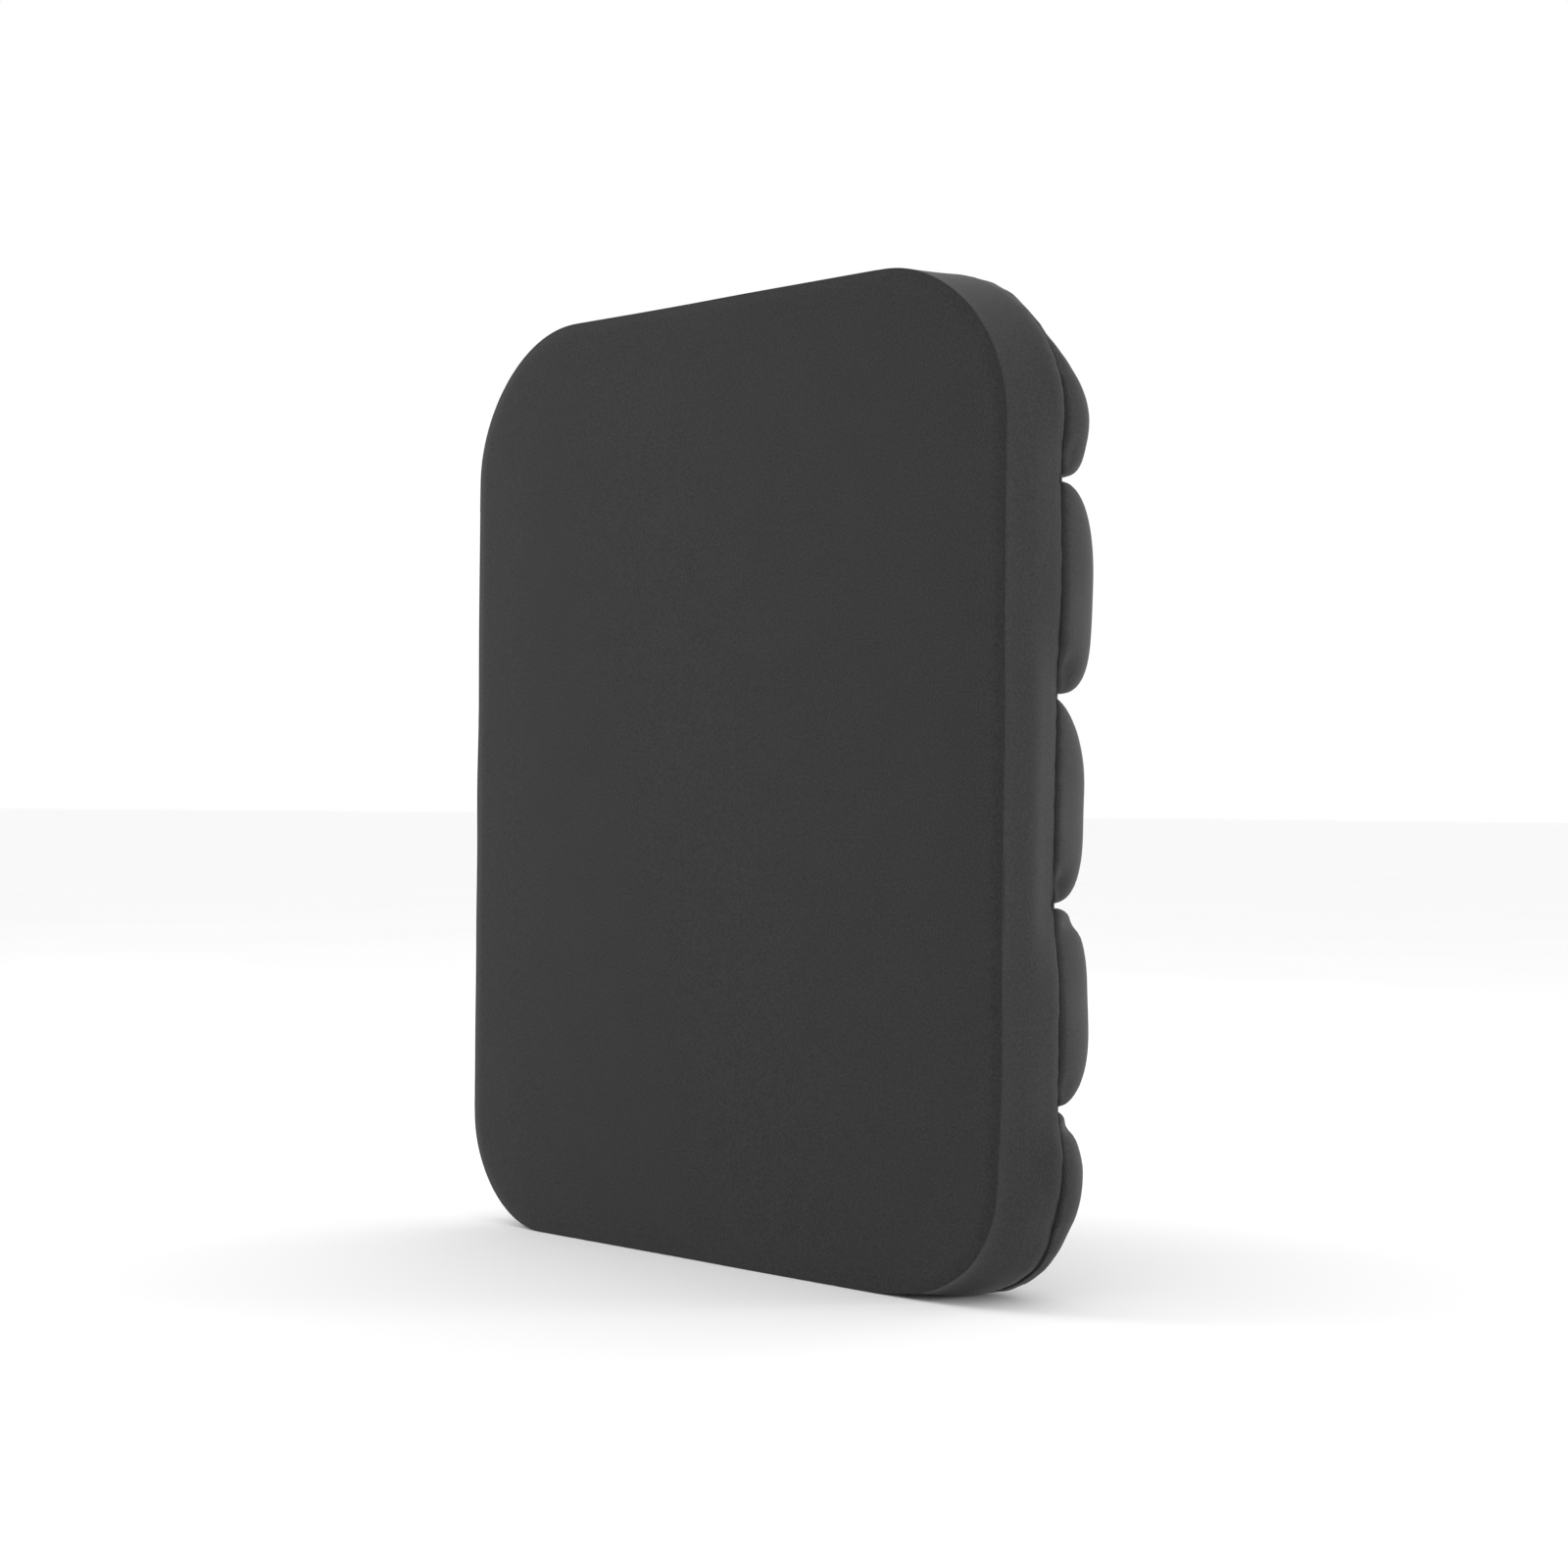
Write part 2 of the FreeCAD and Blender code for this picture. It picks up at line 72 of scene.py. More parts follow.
# How far in from the outline a cell is full at an end, how far at that end's corners, and how
# round it is there.
TOP_SLOPE = (50 * MM, 62 * MM, 1.6)
BOTTOM_SLOPE = (30 * MM, 44 * MM, 1.8)
SWELL_MOST = 2.4 * MM           # the furthest the cloth step may move a point
SWELL_FRAMES = 20
SLAB_INSET = 2.2 * MM           # how far the foam slab stands in from the outline
EASED_OVER = 30 * MM            # how far in from the zip the filling is still eased back
SLIDER_GAP = 0.5 * MM           # room left between the foam slab and the zip's slider
WEDGE_ROOM = 0.42 * MM          # how far from the zip's middle line a coil's turns stop
COIL_PITCH = 1.5 * MM           # about; the true pitch divides the slider's travel
COIL_WIRE = 0.62 * MM
CELL_STEPS = 44                 # mesh lines across a cell
DRAFT_STEP = 2                  # the cloth step uses every second line


def pad_box(row, column):
    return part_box(f"cell_pad_r{row}_c{column}")


COLUMN_CUTS = [(pad_box(1, c)[1].x + pad_box(1, c + 1)[0].x) / 2 for c in range(1, COLUMNS)]
ROW_CUTS = [(pad_box(r, 1)[1].z + pad_box(r + 1, 1)[0].z) / 2 for r in range(1, ROWS)]
COLUMN_EDGES = [-HALF, *COLUMN_CUTS, HALF]
ROW_EDGES = [0.0, *ROW_CUTS, LENGTH]

# How the filling sits in each row, from the standing end up: where a cell is fullest (share of
# its height), how round its lower and upper halves are, how full it is and how square its flank.
ROW_SHAPES = {
    1: {"fullest": 0.50, "low": 2.4, "high": 2.4, "full": 0.94, "flank": 2.0},
    2: {"fullest": 0.50, "low": 2.9, "high": 2.9, "full": 1.12, "flank": 2.3},
    3: {"fullest": 0.54, "low": 3.1, "high": 2.1, "full": 1.09, "flank": 2.1},
    4: {"fullest": 0.50, "low": 3.3, "high": 3.0, "full": 1.12, "flank": 2.35},
    5: {"fullest": 0.46, "low": 3.0, "high": 2.6, "full": 1.08, "flank": 2.2},
}
# How far the filling pushes the right side's back seam out, or the channels draw it in: pairs of
# height (share of the length) and push, in mm.
SEAM_PUSHES = [
    (0.0, 4.5), (0.035, 3.5), (0.08, 1.2), (0.135, 3.0), (0.19, 0.2), (0.29, 0.5), (0.385, -2.6),
    (0.49, -2.5), (0.58, -2.0), (0.69, 0.3), (0.79, -0.5), (0.88, 1.6), (0.96, 1.4), (1.0, 1.2),
]


# ---------------------------------------------------------------- the view and the light
def aim_camera():
    """The camera looks at the middle of the underside, a little below level and barely rolled."""
    azimuth, pitch, roll = math.radians(48.2), math.radians(-0.4), math.radians(0.52)
    level = math.cos(pitch)
    forward = Vector((-math.sin(azimuth) * level, math.cos(azimuth) * level, -math.sin(pitch)))
    right = forward.cross(Vector((0, 0, 1))).normalized()
    up = right.cross(forward)
    rolled_right = right * math.cos(roll) + up * math.sin(roll)
    rolled_up = up * math.cos(roll) - right * math.sin(roll)
    data = bpy.data.cameras.new("camera")
    data.sensor_width = 36
    data.lens = 68.445
    data.shift_x = 0.0443
    data.shift_y = -0.0025
    camera = bpy.data.objects.new("camera", data)
    place = Matrix((rolled_right, rolled_up, -forward)).transposed().to_4x4()
    place.translation = Vector((0, FACE_Y, MIDDLE)) - forward * (3.083 * LENGTH)
    camera.matrix_world = place
    bpy.context.scene.collection.objects.link(camera)
    bpy.context.scene.camera = camera


def soft_light(name, place, aim, size, power):
    """One soft studio panel light."""
    data = bpy.data.lights.new(name, "AREA")
    data.shape = "DISK"
    data.size = size
    data.energy = power
    light = bpy.data.objects.new(name, data)
    light.location = place
    light.rotation_mode = "QUATERNION"
    light.rotation_quaternion = (Vector(aim) - Vector(place)).to_track_quat("-Z", "Y")
    bpy.context.scene.collection.objects.link(light)


ROOM = 1.0                      # how bright the white room is
# Name, place in metres, size in metres and power in watts.
STUDIO_LIGHTS = [
    ("light_behind", (0.12, 1.75, 0.26), 0.5, 5.5),
    ("light_behind_right", (1.3, 1.3, 0.22), 0.5, 18.5),
    ("light_upper_left", (-1.3, -1.0, 1.2), 0.9, 9.5),
    ("light_overhead", (-0.1, -0.1, 2.0), 1.2, 0.5),
]


def light_studio():
    """A white room with soft panel lights round the cushion."""
    world = bpy.data.worlds.new("studio")
    world.use_nodes = True
    world.node_tree.nodes["Background"].inputs["Color"].default_value = (1, 1, 1, 1)
    world.node_tree.nodes["Background"].inputs["Strength"].default_value = ROOM
    bpy.context.scene.world = world
    bpy.context.scene.view_settings.view_transform = "Standard"
    for name, place, size, power in STUDIO_LIGHTS:
        soft_light(name, place, (0, 0, MIDDLE), size, power)


# ---------------------------------------------------------------- finishes
class Wire:
    """An output of a node that can stand in a sum."""

    def __init__(self, finish, socket):
        self.finish = finish
        self.socket = socket

    def sum(self, operation, *others):
        values = {i: value for i, value in enumerate((self, *others))}
        return self.finish.node("ShaderNodeMath", {"operation": operation}, values)

    def __add__(self, other):
        return self.sum("ADD", other)

    __radd__ = __add__

    def __mul__(self, other):
        return self.sum("MULTIPLY", other)

    __rmul__ = __mul__

    def __sub__(self, other):
        return self.sum("SUBTRACT", other)

    def __rsub__(self, other):
        return (self * -1.0) + other

    def __truediv__(self, other):
        return self.sum("DIVIDE", other)

    def __rtruediv__(self, other):
        return self.sum("POWER", -1.0) * other

    def __pow__(self, other):
        return self.sum("POWER", other)

    def fract(self):
        return self.sum("FRACT")

    def size(self):
        return self.sum("ABSOLUTE")

    def wave(self):
        return self.sum("SINE")

    def least(self, other):
        return self.sum("MINIMUM", other)

    def most(self, other):
        return self.sum("MAXIMUM", other)


class Nodes:
    """A node tree that nodes are added to."""

    def __init__(self, tree):
        self.tree = tree

    def node(self, kind, settings=None, values=None, output=0):
        """Adds a node: its settings first, then the numbers or wires of its inputs."""
        made = self.tree.nodes.new(kind)
        for name, value in (settings or {}).items():
            setattr(made, name, value)
        for name, value in (values or {}).items():
            if isinstance(value, Wire):
                self.tree.links.new(value.socket, made.inputs[name])
            else:
                made.inputs[name].default_value = value
        return Wire(self, made.outputs[output])


class Finish(Nodes):
    """A material made of nodes, with one shader."""

    def __init__(self, name, **constants):
        self.material = bpy.data.materials.new(name)
        self.material.use_nodes = True
        super().__init__(self.material.node_tree)
        self.tree.nodes.clear()
        self.shader = self.tree.nodes.new("ShaderNodeBsdfPrincipled")
        output = self.tree.nodes.new("ShaderNodeOutputMaterial")
        self.tree.links.new(self.shader.outputs[0], output.inputs["Surface"])
        for socket, value in constants.items():
            self.shader.inputs[socket.replace("_", " ")].default_value = value

    def put(self, **wires):
        """Leads wires to the shader."""
        for socket, wire in wires.items():
            self.tree.links.new(wire.socket, self.shader.inputs[socket.replace("_", " ")])

    def grain(self, scale, detail=2.0, roughness=0.5, stretch=(1, 1, 1)):
        """Noise fixed to the piece, from 0 to 1."""
        place = self.node("ShaderNodeTexCoord", output="Object")
        if stretch != (1, 1, 1):
            place = self.node("ShaderNodeMapping", None, {"Vector": place, "Scale": stretch})
        values = {"Vector": place, "Scale": scale, "Detail": detail, "Roughness": roughness}
        return self.node("ShaderNodeTexNoise", {"noise_dimensions": "3D"}, values)

    def cloth_way(self):
        """The two lengths along the cloth, in millimetres, from the piece's own map."""
        flat = self.node("ShaderNodeUVMap", {"uv_map": "cloth"})
        across = self.node("ShaderNodeSeparateXYZ", None, {"Vector": flat}, "X")
        along = self.node("ShaderNodeSeparateXYZ", None, {"Vector": flat}, "Y")
        return across, along

    def blend(self, share, first, second):
        """A colour between two."""
        settings = {"data_type": "RGBA"}
        return self.node("ShaderNodeMix", settings, {0: share, 6: (*first, 1), 7: (*second, 1)}, 2)

    def dent(self, height, depth, strength=1.0):
        """Raises the surface by height times depth metres."""
        values = {"Height": height, "Distance": depth, "Strength": strength}
        self.put(Normal=self.node("ShaderNodeBump", None, values))


def knit_finish(name, dark, light):
    """Fine charcoal knit: columns of small V stitches, a slight mottle and a soft bloom."""
    finish = Finish(name, Sheen_Weight=0.11, Sheen_Roughness=0.5, Specular_IOR_Level=0.14)
    wale, course = 0.62, 0.50
    across, along = finish.cloth_way()
    drift = finish.grain(90, 3) - 0.5
    from_rib = ((across / wale + drift * 0.5).fract() - 0.5).size() * 2
    loops = ((along / course + from_rib * 0.55 + drift * 0.6) * (2 * math.pi)).wave() * 0.5 + 0.5
    rib = 1 - from_rib ** 2
    height = rib * 0.55 + loops * 0.45
    speck = ((finish.grain(1000, 3, 0.7) - 0.5) * 2.8 + 0.5).most(0.0).least(1.0)
    mottle = finish.grain(45, 3, 0.55)
    share = (height * 0.16 + speck * 0.74 + mottle * 0.16).most(0.0).least(1.0)
    finish.put(Base_Color=finish.blend(share, dark, light))
    finish.put(Roughness=speck * 0.12 + 0.84)
    finish.dent(height * 0.55 + speck * 0.6, 0.07 * MM, 0.5)
    return finish.material


def weave_finish(name, dark, light, pitch):
    """Plain weave: threads over and under at the given pitch, in millimetres."""
    finish = Finish(name, Sheen_Weight=0.12, Sheen_Roughness=0.5, Specular_IOR_Level=0.3)
    across, along = finish.cloth_way()
    warp = (across * (math.pi / pitch)).wave()
    weft = (along * (math.pi / pitch)).wave()
    height = (warp * weft) * 0.5 + 0.5
    speck = finish.grain(1800, 2)
    share = (height * 0.6 + speck * 0.4).least(1.0)
    finish.put(Base_Color=finish.blend(share, dark, light))
    finish.put(Roughness=speck * 0.1 + 0.8)
    finish.dent(height, 0.08 * MM, 0.8)
    return finish.material


def foam_finish(name, dark, light):
    """Open-cell foam: small pores of two sizes."""
    finish = Finish(name, Specular_IOR_Level=0.2)
    place = finish.node("ShaderNodeTexCoord", output="Object")
    pores = finish.node("ShaderNodeTexVoronoi", {"feature": "F1"}, {"Vector": place, "Scale": 900.0})
    fine = finish.grain(2600, 2)
    share = (pores * 0.9 + fine * 0.3).least(1.0)
    finish.put(Base_Color=finish.blend(share, dark, light))
    finish.put(Roughness=fine * 0.1 + 0.88)
    finish.dent(pores, 0.25 * MM, 0.8)
    return finish.material


def fill_finish(name, dark, light):
    """Lofted fibre filling: fine strands running every way."""
    finish = Finish(name, Sheen_Weight=0.35, Sheen_Roughness=0.6)
    strands = finish.grain(420, 6, 0.75, (1, 3, 1))
    cross = finish.grain(380, 6, 0.75, (3, 1, 1))
    share = (strands * 0.6 + cross * 0.5).least(1.0)
    finish.put(Base_Color=finish.blend(share, dark, light))
    finish.put(Roughness=strands * 0.1 + 0.88)
    finish.dent(strands + cross, 0.3 * MM, 0.7)
    return finish.material


def plastic_finish(name, dark, light, roughness):
    """Moulded or lacquered surface with a faint orange-peel and small handling marks."""
    finish = Finish(name, Specular_IOR_Level=0.5)
    peel = finish.grain(1400, 2)
    marks = finish.grain(260, 5, 0.7, (1, 1, 6))
    finish.put(Base_Color=finish.blend(marks, dark, light))
    finish.put(Roughness=(marks - 0.5) * 0.25 + roughness)
    finish.dent(peel, 0.02 * MM, 0.5)
    return finish.material


def thread_finish(name, dark, light):
    """Twisted sewing thread."""
    finish = Finish(name, Sheen_Weight=0.2, Specular_IOR_Level=0.35)
    place = finish.node("ShaderNodeTexCoord", output="Object")
    x = finish.node("ShaderNodeSeparateXYZ", None, {"Vector": place}, "X")
    z = finish.node("ShaderNodeSeparateXYZ", None, {"Vector": place}, "Z")
    twist = ((x + z) * 9000).wave() * 0.5 + 0.5
    finish.put(Base_Color=finish.blend(twist, dark, light))
    finish.put(Roughness=twist * 0.1 + 0.6)
    finish.dent(twist, 0.05 * MM, 0.6)
    return finish.material


def floor_finish():
    """Pale matt studio floor."""
    finish = Finish("pale_floor", Specular_IOR_Level=0.1)
    tone = finish.grain(3, 2)
    finish.put(Base_Color=finish.blend(tone, (0.93, 0.93, 0.93), (0.96, 0.96, 0.96)))
    finish.put(Roughness=tone * 0.05 + 0.9)
    return finish.material


# ---------------------------------------------------------------- plan of the cushion
def arc_radius(z):
    return np.where(z > MIDDLE, TOP_RADIUS, BOTTOM_RADIUS)


def edge_distance(x, z):
    """How far a point of the plan lies inside the outline."""
    radius = arc_radius(z)
    over_x = np.abs(x) - (HALF - radius)
    over_z = np.abs(z - MIDDLE) - (MIDDLE - radius)
    beyond = np.hypot(np.maximum(over_x, 0), np.maximum(over_z, 0))
    return radius - beyond - np.minimum(np.maximum(over_x, over_z), 0)


def outward(x, z):
    """The direction straight out of the outline beside a point, as x and z parts."""
    radius = arc_radius(z)
    over_x = np.abs(x) - (HALF - radius)
    over_z = np.abs(z - MIDDLE) - (MIDDLE - radius)
    part_x = np.where(np.maximum(over_x, over_z) > 0, np.maximum(over_x, 0), over_x > over_z)
    part_z = np.where(np.maximum(over_x, over_z) > 0, np.maximum(over_z, 0), over_x <= over_z)
    length = np.maximum(np.hypot(part_x, part_z), 1e-9)
    return part_x / length * np.sign(x), part_z / length * np.sign(z - MIDDLE)


def bend_corners(x, z):
    """Bends a square grid so that its border follows the rounded corners."""
    radius = arc_radius(z)
    s = np.clip((np.abs(x) - (HALF - radius)) / radius, 0, 1)
    t = np.clip((np.abs(z - MIDDLE) - (MIDDLE - radius)) / radius, 0, 1)
    corner = (s > 0) & (t > 0)
    bent_x = np.where(corner, HALF - radius + radius * s * np.sqrt(1 - t * t / 2), np.abs(x))
    bent_z = np.where(corner, MIDDLE - radius + radius * t * np.sqrt(1 - s * s / 2), np.abs(z - MIDDLE))
    return np.sign(x) * bent_x, MIDDLE + np.sign(z - MIDDLE) * bent_z


def ease(share):
    share = np.clip(share, 0, 1)
    return share * share * (3 - 2 * share)


def wander(length, pitch, seed):
    """A smooth uneven wave along a length, between about -1 and 1."""
    draw = np.random.default_rng(seed)
    total = 0
    for k in range(5):
        stretch = pitch * draw.uniform(0.7, 1.9)
        total = total + np.sin(2 * math.pi * (length / stretch + draw.uniform()))
    return total / 3


def seam_push(x, z):
    """How far the right side's back seam is pushed out of the plain outline, in metres."""
    heights, pushes = (np.array(column) for column in zip(*SEAM_PUSHES))
    heights = heights * LENGTH
    place = np.clip(np.searchsorted(heights, z, side="right") - 1, 0, len(heights) - 2)
    share = ease((z - heights[place]) / (heights[place + 1] - heights[place]))
    push = pushes[place] * (1 - share) + pushes[place + 1] * share
    return push * MM * ease((x - HALF * 0.45) / (HALF * 0.4))


def push_down_share(z, part_z):
    """A push that would go down is left out where the cushion stands on its end."""
    return np.where(part_z < 0, ease(z / (30 * MM)), 1.0)


def slump(x, z):
    """How far the filling and its channels have settled towards the standing end."""
    side = 0.75 + 0.25 * ease((x + HALF) / (2 * HALF))
    return -7.9 * MM * side * np.sin(math.pi * np.clip(z / LENGTH, 0, 1))


def face_drop(x, z):
    """How far the underside's face rolls back from flat: a long soft roll along the left edge,
    short ones elsewhere."""
    from_left = (x + HALF) / (55 * MM)
    long_roll = 1.8 * MM * np.clip(1 - from_left, 0, 1) ** 2.2
    edge = np.clip(1 - edge_distance(x, z) / (16 * MM), 0, 1)
    return long_roll + 0.5 * MM * edge ** 2 * ease(-x / HALF * 4 + 0.5)


def left_roll(x, z):
    """How far the soft edge of the left side stands out beside the underside's roll."""
    ends = ease(z / (55 * MM)) * ease((LENGTH - z) / (62 * MM))
    return 4.0 * MM * ends * ease(-x / HALF * 3 - 1.6)


def roll_share(y):
    """How much of the left roll reaches a depth: all of it at the underside, none at the zip."""
    return ease((-19.5 * MM - y) / (7 * MM))


def drop_share(y):
    """How much of the underside's roll reaches a depth."""
    return ease((-12 * MM - y) / (18 * MM))


def right_lean(x, z):
    """How far the right side leans in towards the underside, most at the standing corner."""
    return (1.4 * MM + 2.8 * MM * ease(1 - z / (95 * MM))) * ease(x / HALF * 3 - 1.6)


# ---------------------------------------------------------------- meshes
def grid_faces(across, along, outwards_up):
    """Squares over a grid of points numbered across first."""
    i, j = np.meshgrid(np.arange(across - 1), np.arange(along - 1), indexing="ij")
    a = i * along + j
    b = (i + 1) * along + j
    square = np.stack([a, b, b + 1, a + 1], -1).reshape(-1, 4)
    return square[:, ::-1] if outwards_up else square


def make_piece(name, points, faces, flat=None):
    """A mesh object with its place in its mesh. flat holds the cloth's lengths in millimetres."""
    mesh = bpy.data.meshes.new(name)
    mesh.from_pydata(np.asarray(points).tolist(), [], [list(map(int, f)) for f in faces])
    if flat is not None:
        layer = mesh.uv_layers.new(name="cloth")
        corner = np.zeros(len(mesh.loops), np.int32)
        mesh.loops.foreach_get("vertex_index", corner)
        layer.data.foreach_set("uv", np.asarray(flat, np.float32)[corner].ravel())
    mesh.polygons.foreach_set("use_smooth", [True] * len(mesh.polygons))
    mesh.update()
    piece = bpy.data.objects.new(name, mesh)
    bpy.context.scene.collection.objects.link(piece)
    return piece


def thicken(piece, thickness):
    """Gives a cloth its thickness, inwards."""
    wall = piece.modifiers.new("cloth_thickness", "SOLIDIFY")
    wall.thickness = thickness
    wall.offset = -1
    wall.use_rim = True


def finish_piece(piece, material, node):
    """Gives a piece of the cushion its finish, sets it on the cushion's body and hides the node it stands for."""
    piece.data.materials.clear()
    piece.data.materials.append(material)
    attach(piece, "cushion")
    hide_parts(node)
    return piece


def swept_bar(stations, profile):
    """Sweeps a closed outline of (y, outwards) points, in millimetres, along stations and closes
    both ends. Returns points, faces and the cloth's lengths."""
    points, faces, flat = [], [], []
    count = len(profile)
    round_it = [0.0]
    for (y0, out0), (y1, out1) in zip(profile, profile[1:]):
        round_it.append(round_it[-1] + math.hypot(y1 - y0, out1 - out0))
    length = 0.0
    for k, (x, z, nx, nz) in enumerate(stations):
        if k:
            length += math.hypot(x - stations[k - 1][0], z - stations[k - 1][1]) / MM
        for (y, out), across in zip(profile, round_it):
            points.append((x + nx * out * MM, y * MM, z + nz * out * MM))
            flat.append((length, across))
    for i in range(len(stations) - 1):
        for j in range(count):
            k = (j + 1) % count
            faces.append((i * count + j, i * count + k, (i + 1) * count + k, (i + 1) * count + j))
    faces.append(tuple(range(count - 1, -1, -1)))
    faces.append(tuple((len(stations) - 1) * count + j for j in range(count)))
    return points, faces, flat


def pillow(name, x, z, front, back):
    """A closed soft body between a front and a back grid that share their border."""
    shape = x.shape
    number = np.arange(x.size).reshape(shape)
    inside = np.zeros(shape, bool)
    inside[1:-1, 1:-1] = True
    behind = number.copy()
    behind[inside] = x.size + np.arange(inside.sum())
    border_y = (front + back) / 2
    front = np.where(inside, front, border_y)
    points = [np.stack([x, front, z], -1).reshape(-1, 3), np.stack([x[inside], back[inside], z[inside]], -1)]
    flat = np.stack([x, z], -1) / MM
    faces = grid_faces(*shape, False)
    rear = behind.ravel()[grid_faces(*shape, True)]
    flats = np.concatenate([flat.reshape(-1, 2), flat[inside]])
    return make_piece(name, np.concatenate(points), np.concatenate([faces, rear]), flats)


# ---------------------------------------------------------------- the seat cover
def rise(distance, reach, roundness):
    """How high a cell's skin has come at a distance from its sewn edge, from 0 to 1."""
    share = np.clip(distance / reach, 0, 1)
    return (1 - (1 - share) ** roundness) ** (1 / roundness)


def cell_lines(start, end, fullest, low, high, outer_low, outer_high):
    """Mesh lines across a cell, evenly spread over its skin, and the skin's length to each."""
    width = end - start
    fine = (1 - np.cos(np.linspace(0, math.pi, 4001))) / 2 * width
    web_low = 0 if outer_low else WEB
    web_high = 0 if outer_high else WEB
    up = rise(np.maximum(fine - web_low, 0), fullest * width - web_low, low)
    down = rise(np.maximum(width - fine - web_high, 0), (1 - fullest) * width - web_high, high)
    height = CROWN * up * down
    skin = np.concatenate([[0], np.cumsum(np.hypot(np.diff(fine), np.diff(height)))])
    steps = np.linspace(web_low, skin[-1] - web_high, CELL_STEPS + 1 - (web_low > 0) - (web_high > 0))
    if web_low:
        steps = np.concatenate([[0], steps])
    if web_high:
        steps = np.concatenate([steps, [skin[-1]]])
    return start + np.interp(steps, skin, fine), steps


def seat_lines(edges, shapes):
    """All mesh lines across the cells between the edges, and the skin's length to each."""
    lines, lengths, total = [edges[0]], [0.0], 0.0
    for k, (low, high) in enumerate(zip(edges, edges[1:])):
        shape = shapes[k]
        ends = (k == 0, k == len(edges) - 2)
        place, skin = cell_lines(low, high, shape["fullest"], shape["low"], shape["high"], *ends)
        lines += list(place[1:])
        lengths += list(skin[1:] + total)
        total += skin[-1]
    return np.array(lines), np.array(lengths)


COLUMN_SHAPES = [
    {"fullest": 0.5, "low": FLANK_ROUNDNESS, "high": 2.8},
    {"fullest": 0.5, "low": 2.8, "high": 2.8},
    {"fullest": 0.5, "low": 2.8, "high": 2.8},
    {"fullest": 0.5, "low": 2.8, "high": FLANK_ROUNDNESS},
]


def cell_character(row, column):
    """Small differences from cell to cell: how full, and where fullest."""
    draw = np.random.default_rng(100 + 10 * row + column)
    full = 1 + draw.uniform(-0.035, 0.02)
    lean_x, lean_z = draw.uniform(-0.035, 0.035, 2)
    if column == COLUMNS:
        full, lean_x, lean_z = 1, 0, 0
    return full, lean_x, lean_z


def skin_height(x, z, row, column):
    """Height of a cell's skin over the sewn lines at points of the plan, in metres."""
    shape = ROW_SHAPES[row]
    full, lean_x, lean_z = cell_character(row, column)
    x0, x1 = COLUMN_EDGES[column - 1], COLUMN_EDGES[column]
    z0, z1 = ROW_EDGES[row - 1], ROW_EDGES[row]
    fullest_x = 0.5 + lean_x
    fullest_z = shape["fullest"] + lean_z
    height = CROWN * shape["full"] * full * np.ones_like(x)
    if column > 1:
        height = height * rise(np.maximum(x - x0 - WEB, 0), fullest_x * (x1 - x0) - WEB, 2.8)
    if column < COLUMNS:
        height = height * rise(np.maximum(x1 - x - WEB, 0), (1 - fullest_x) * (x1 - x0) - WEB, 2.8)
    if row > 1:
        height = height * rise(np.maximum(z - z0 - WEB, 0), fullest_z * (z1 - z0) - WEB, shape["low"])
    if row < ROWS:
        height = height * rise(np.maximum(z1 - z - WEB, 0), (1 - fullest_z) * (z1 - z0) - WEB, shape["high"])
    if row in (1, ROWS) or column in (1, COLUMNS):
        out_x, out_z = outward(x, z)
        end_reach, corner_reach, end_roundness = TOP_SLOPE if row > ROWS / 2 else BOTTOM_SLOPE
        to_end = ease(2 * out_z ** 2)
        to_corner = (2 * out_x * out_z) ** 4
        reach = FLANK + (end_reach - FLANK) * to_end + (corner_reach - end_reach) * to_corner
        roundness = shape["flank"] + (end_roundness - shape["flank"]) * to_end
        height = height * rise(edge_distance(x, z), reach, roundness)
    return height


def seat_surface(lines_x, lines_z):
    """Points of the seat cover's skin over a grid of mesh lines."""
    grid_x, grid_z = np.meshgrid(lines_x, lines_z, indexing="ij")
    x, z = bend_corners(grid_x, grid_z)
    column = np.minimum(np.arange(len(lines_x)) // CELL_STEPS, COLUMNS - 1)
    row = np.minimum(np.arange(len(lines_z)) // CELL_STEPS, ROWS - 1)
    height = np.zeros_like(x)
    for c in range(COLUMNS):
        for r in range(ROWS):
            part = np.ix_(column == c, row == r)
            height[part] = skin_height(x[part], z[part], r + 1, c + 1)
    sewn = np.zeros_like(x, bool)
    sewn[::CELL_STEPS, :] = True
    sewn[:, ::CELL_STEPS] = True
    height[sewn] = 0
    return x, z, height, sewn


def swell(x, y, z, sewn):
    """Lets the sewn cover swell as cloth, and returns how far each point went."""
    shape = x.shape
    points = np.stack([x, y, z], -1).reshape(-1, 3)
    draft = make_piece("seat_draft", points, grid_faces(shape[0], shape[1], True))
    group = draft.vertex_groups.new(name="sewn")
    group.add([int(i) for i in np.flatnonzero(sewn.ravel())], 1.0, "REPLACE")
    cloth = draft.modifiers.new("swell", "CLOTH")
    settings = cloth.settings
    settings.vertex_group_mass = "sewn"
    settings.quality = 5
    settings.mass = 0.25
    settings.tension_stiffness = 12
    settings.compression_stiffness = 12
    settings.shear_stiffness = 4
    settings.bending_stiffness = 0.4
    settings.use_pressure = True
    settings.uniform_pressure_force = 4
    settings.shrink_min = -0.035
    settings.effector_weights.gravity = 0
    cloth.collision_settings.use_collision = False
    cloth.point_cache.frame_start = 1
    cloth.point_cache.frame_end = SWELL_FRAMES
    for number in range(1, SWELL_FRAMES + 1):
        bpy.context.scene.frame_set(number)
    swollen = draft.evaluated_get(bpy.context.evaluated_depsgraph_get())
    moved = np.zeros(len(points) * 3, np.float32)
    swollen.data.vertices.foreach_get("co", moved)
    bpy.data.objects.remove(draft)
    bpy.context.scene.frame_set(1)
    return (moved.reshape(-1, 3) - points).reshape(*shape, 3)


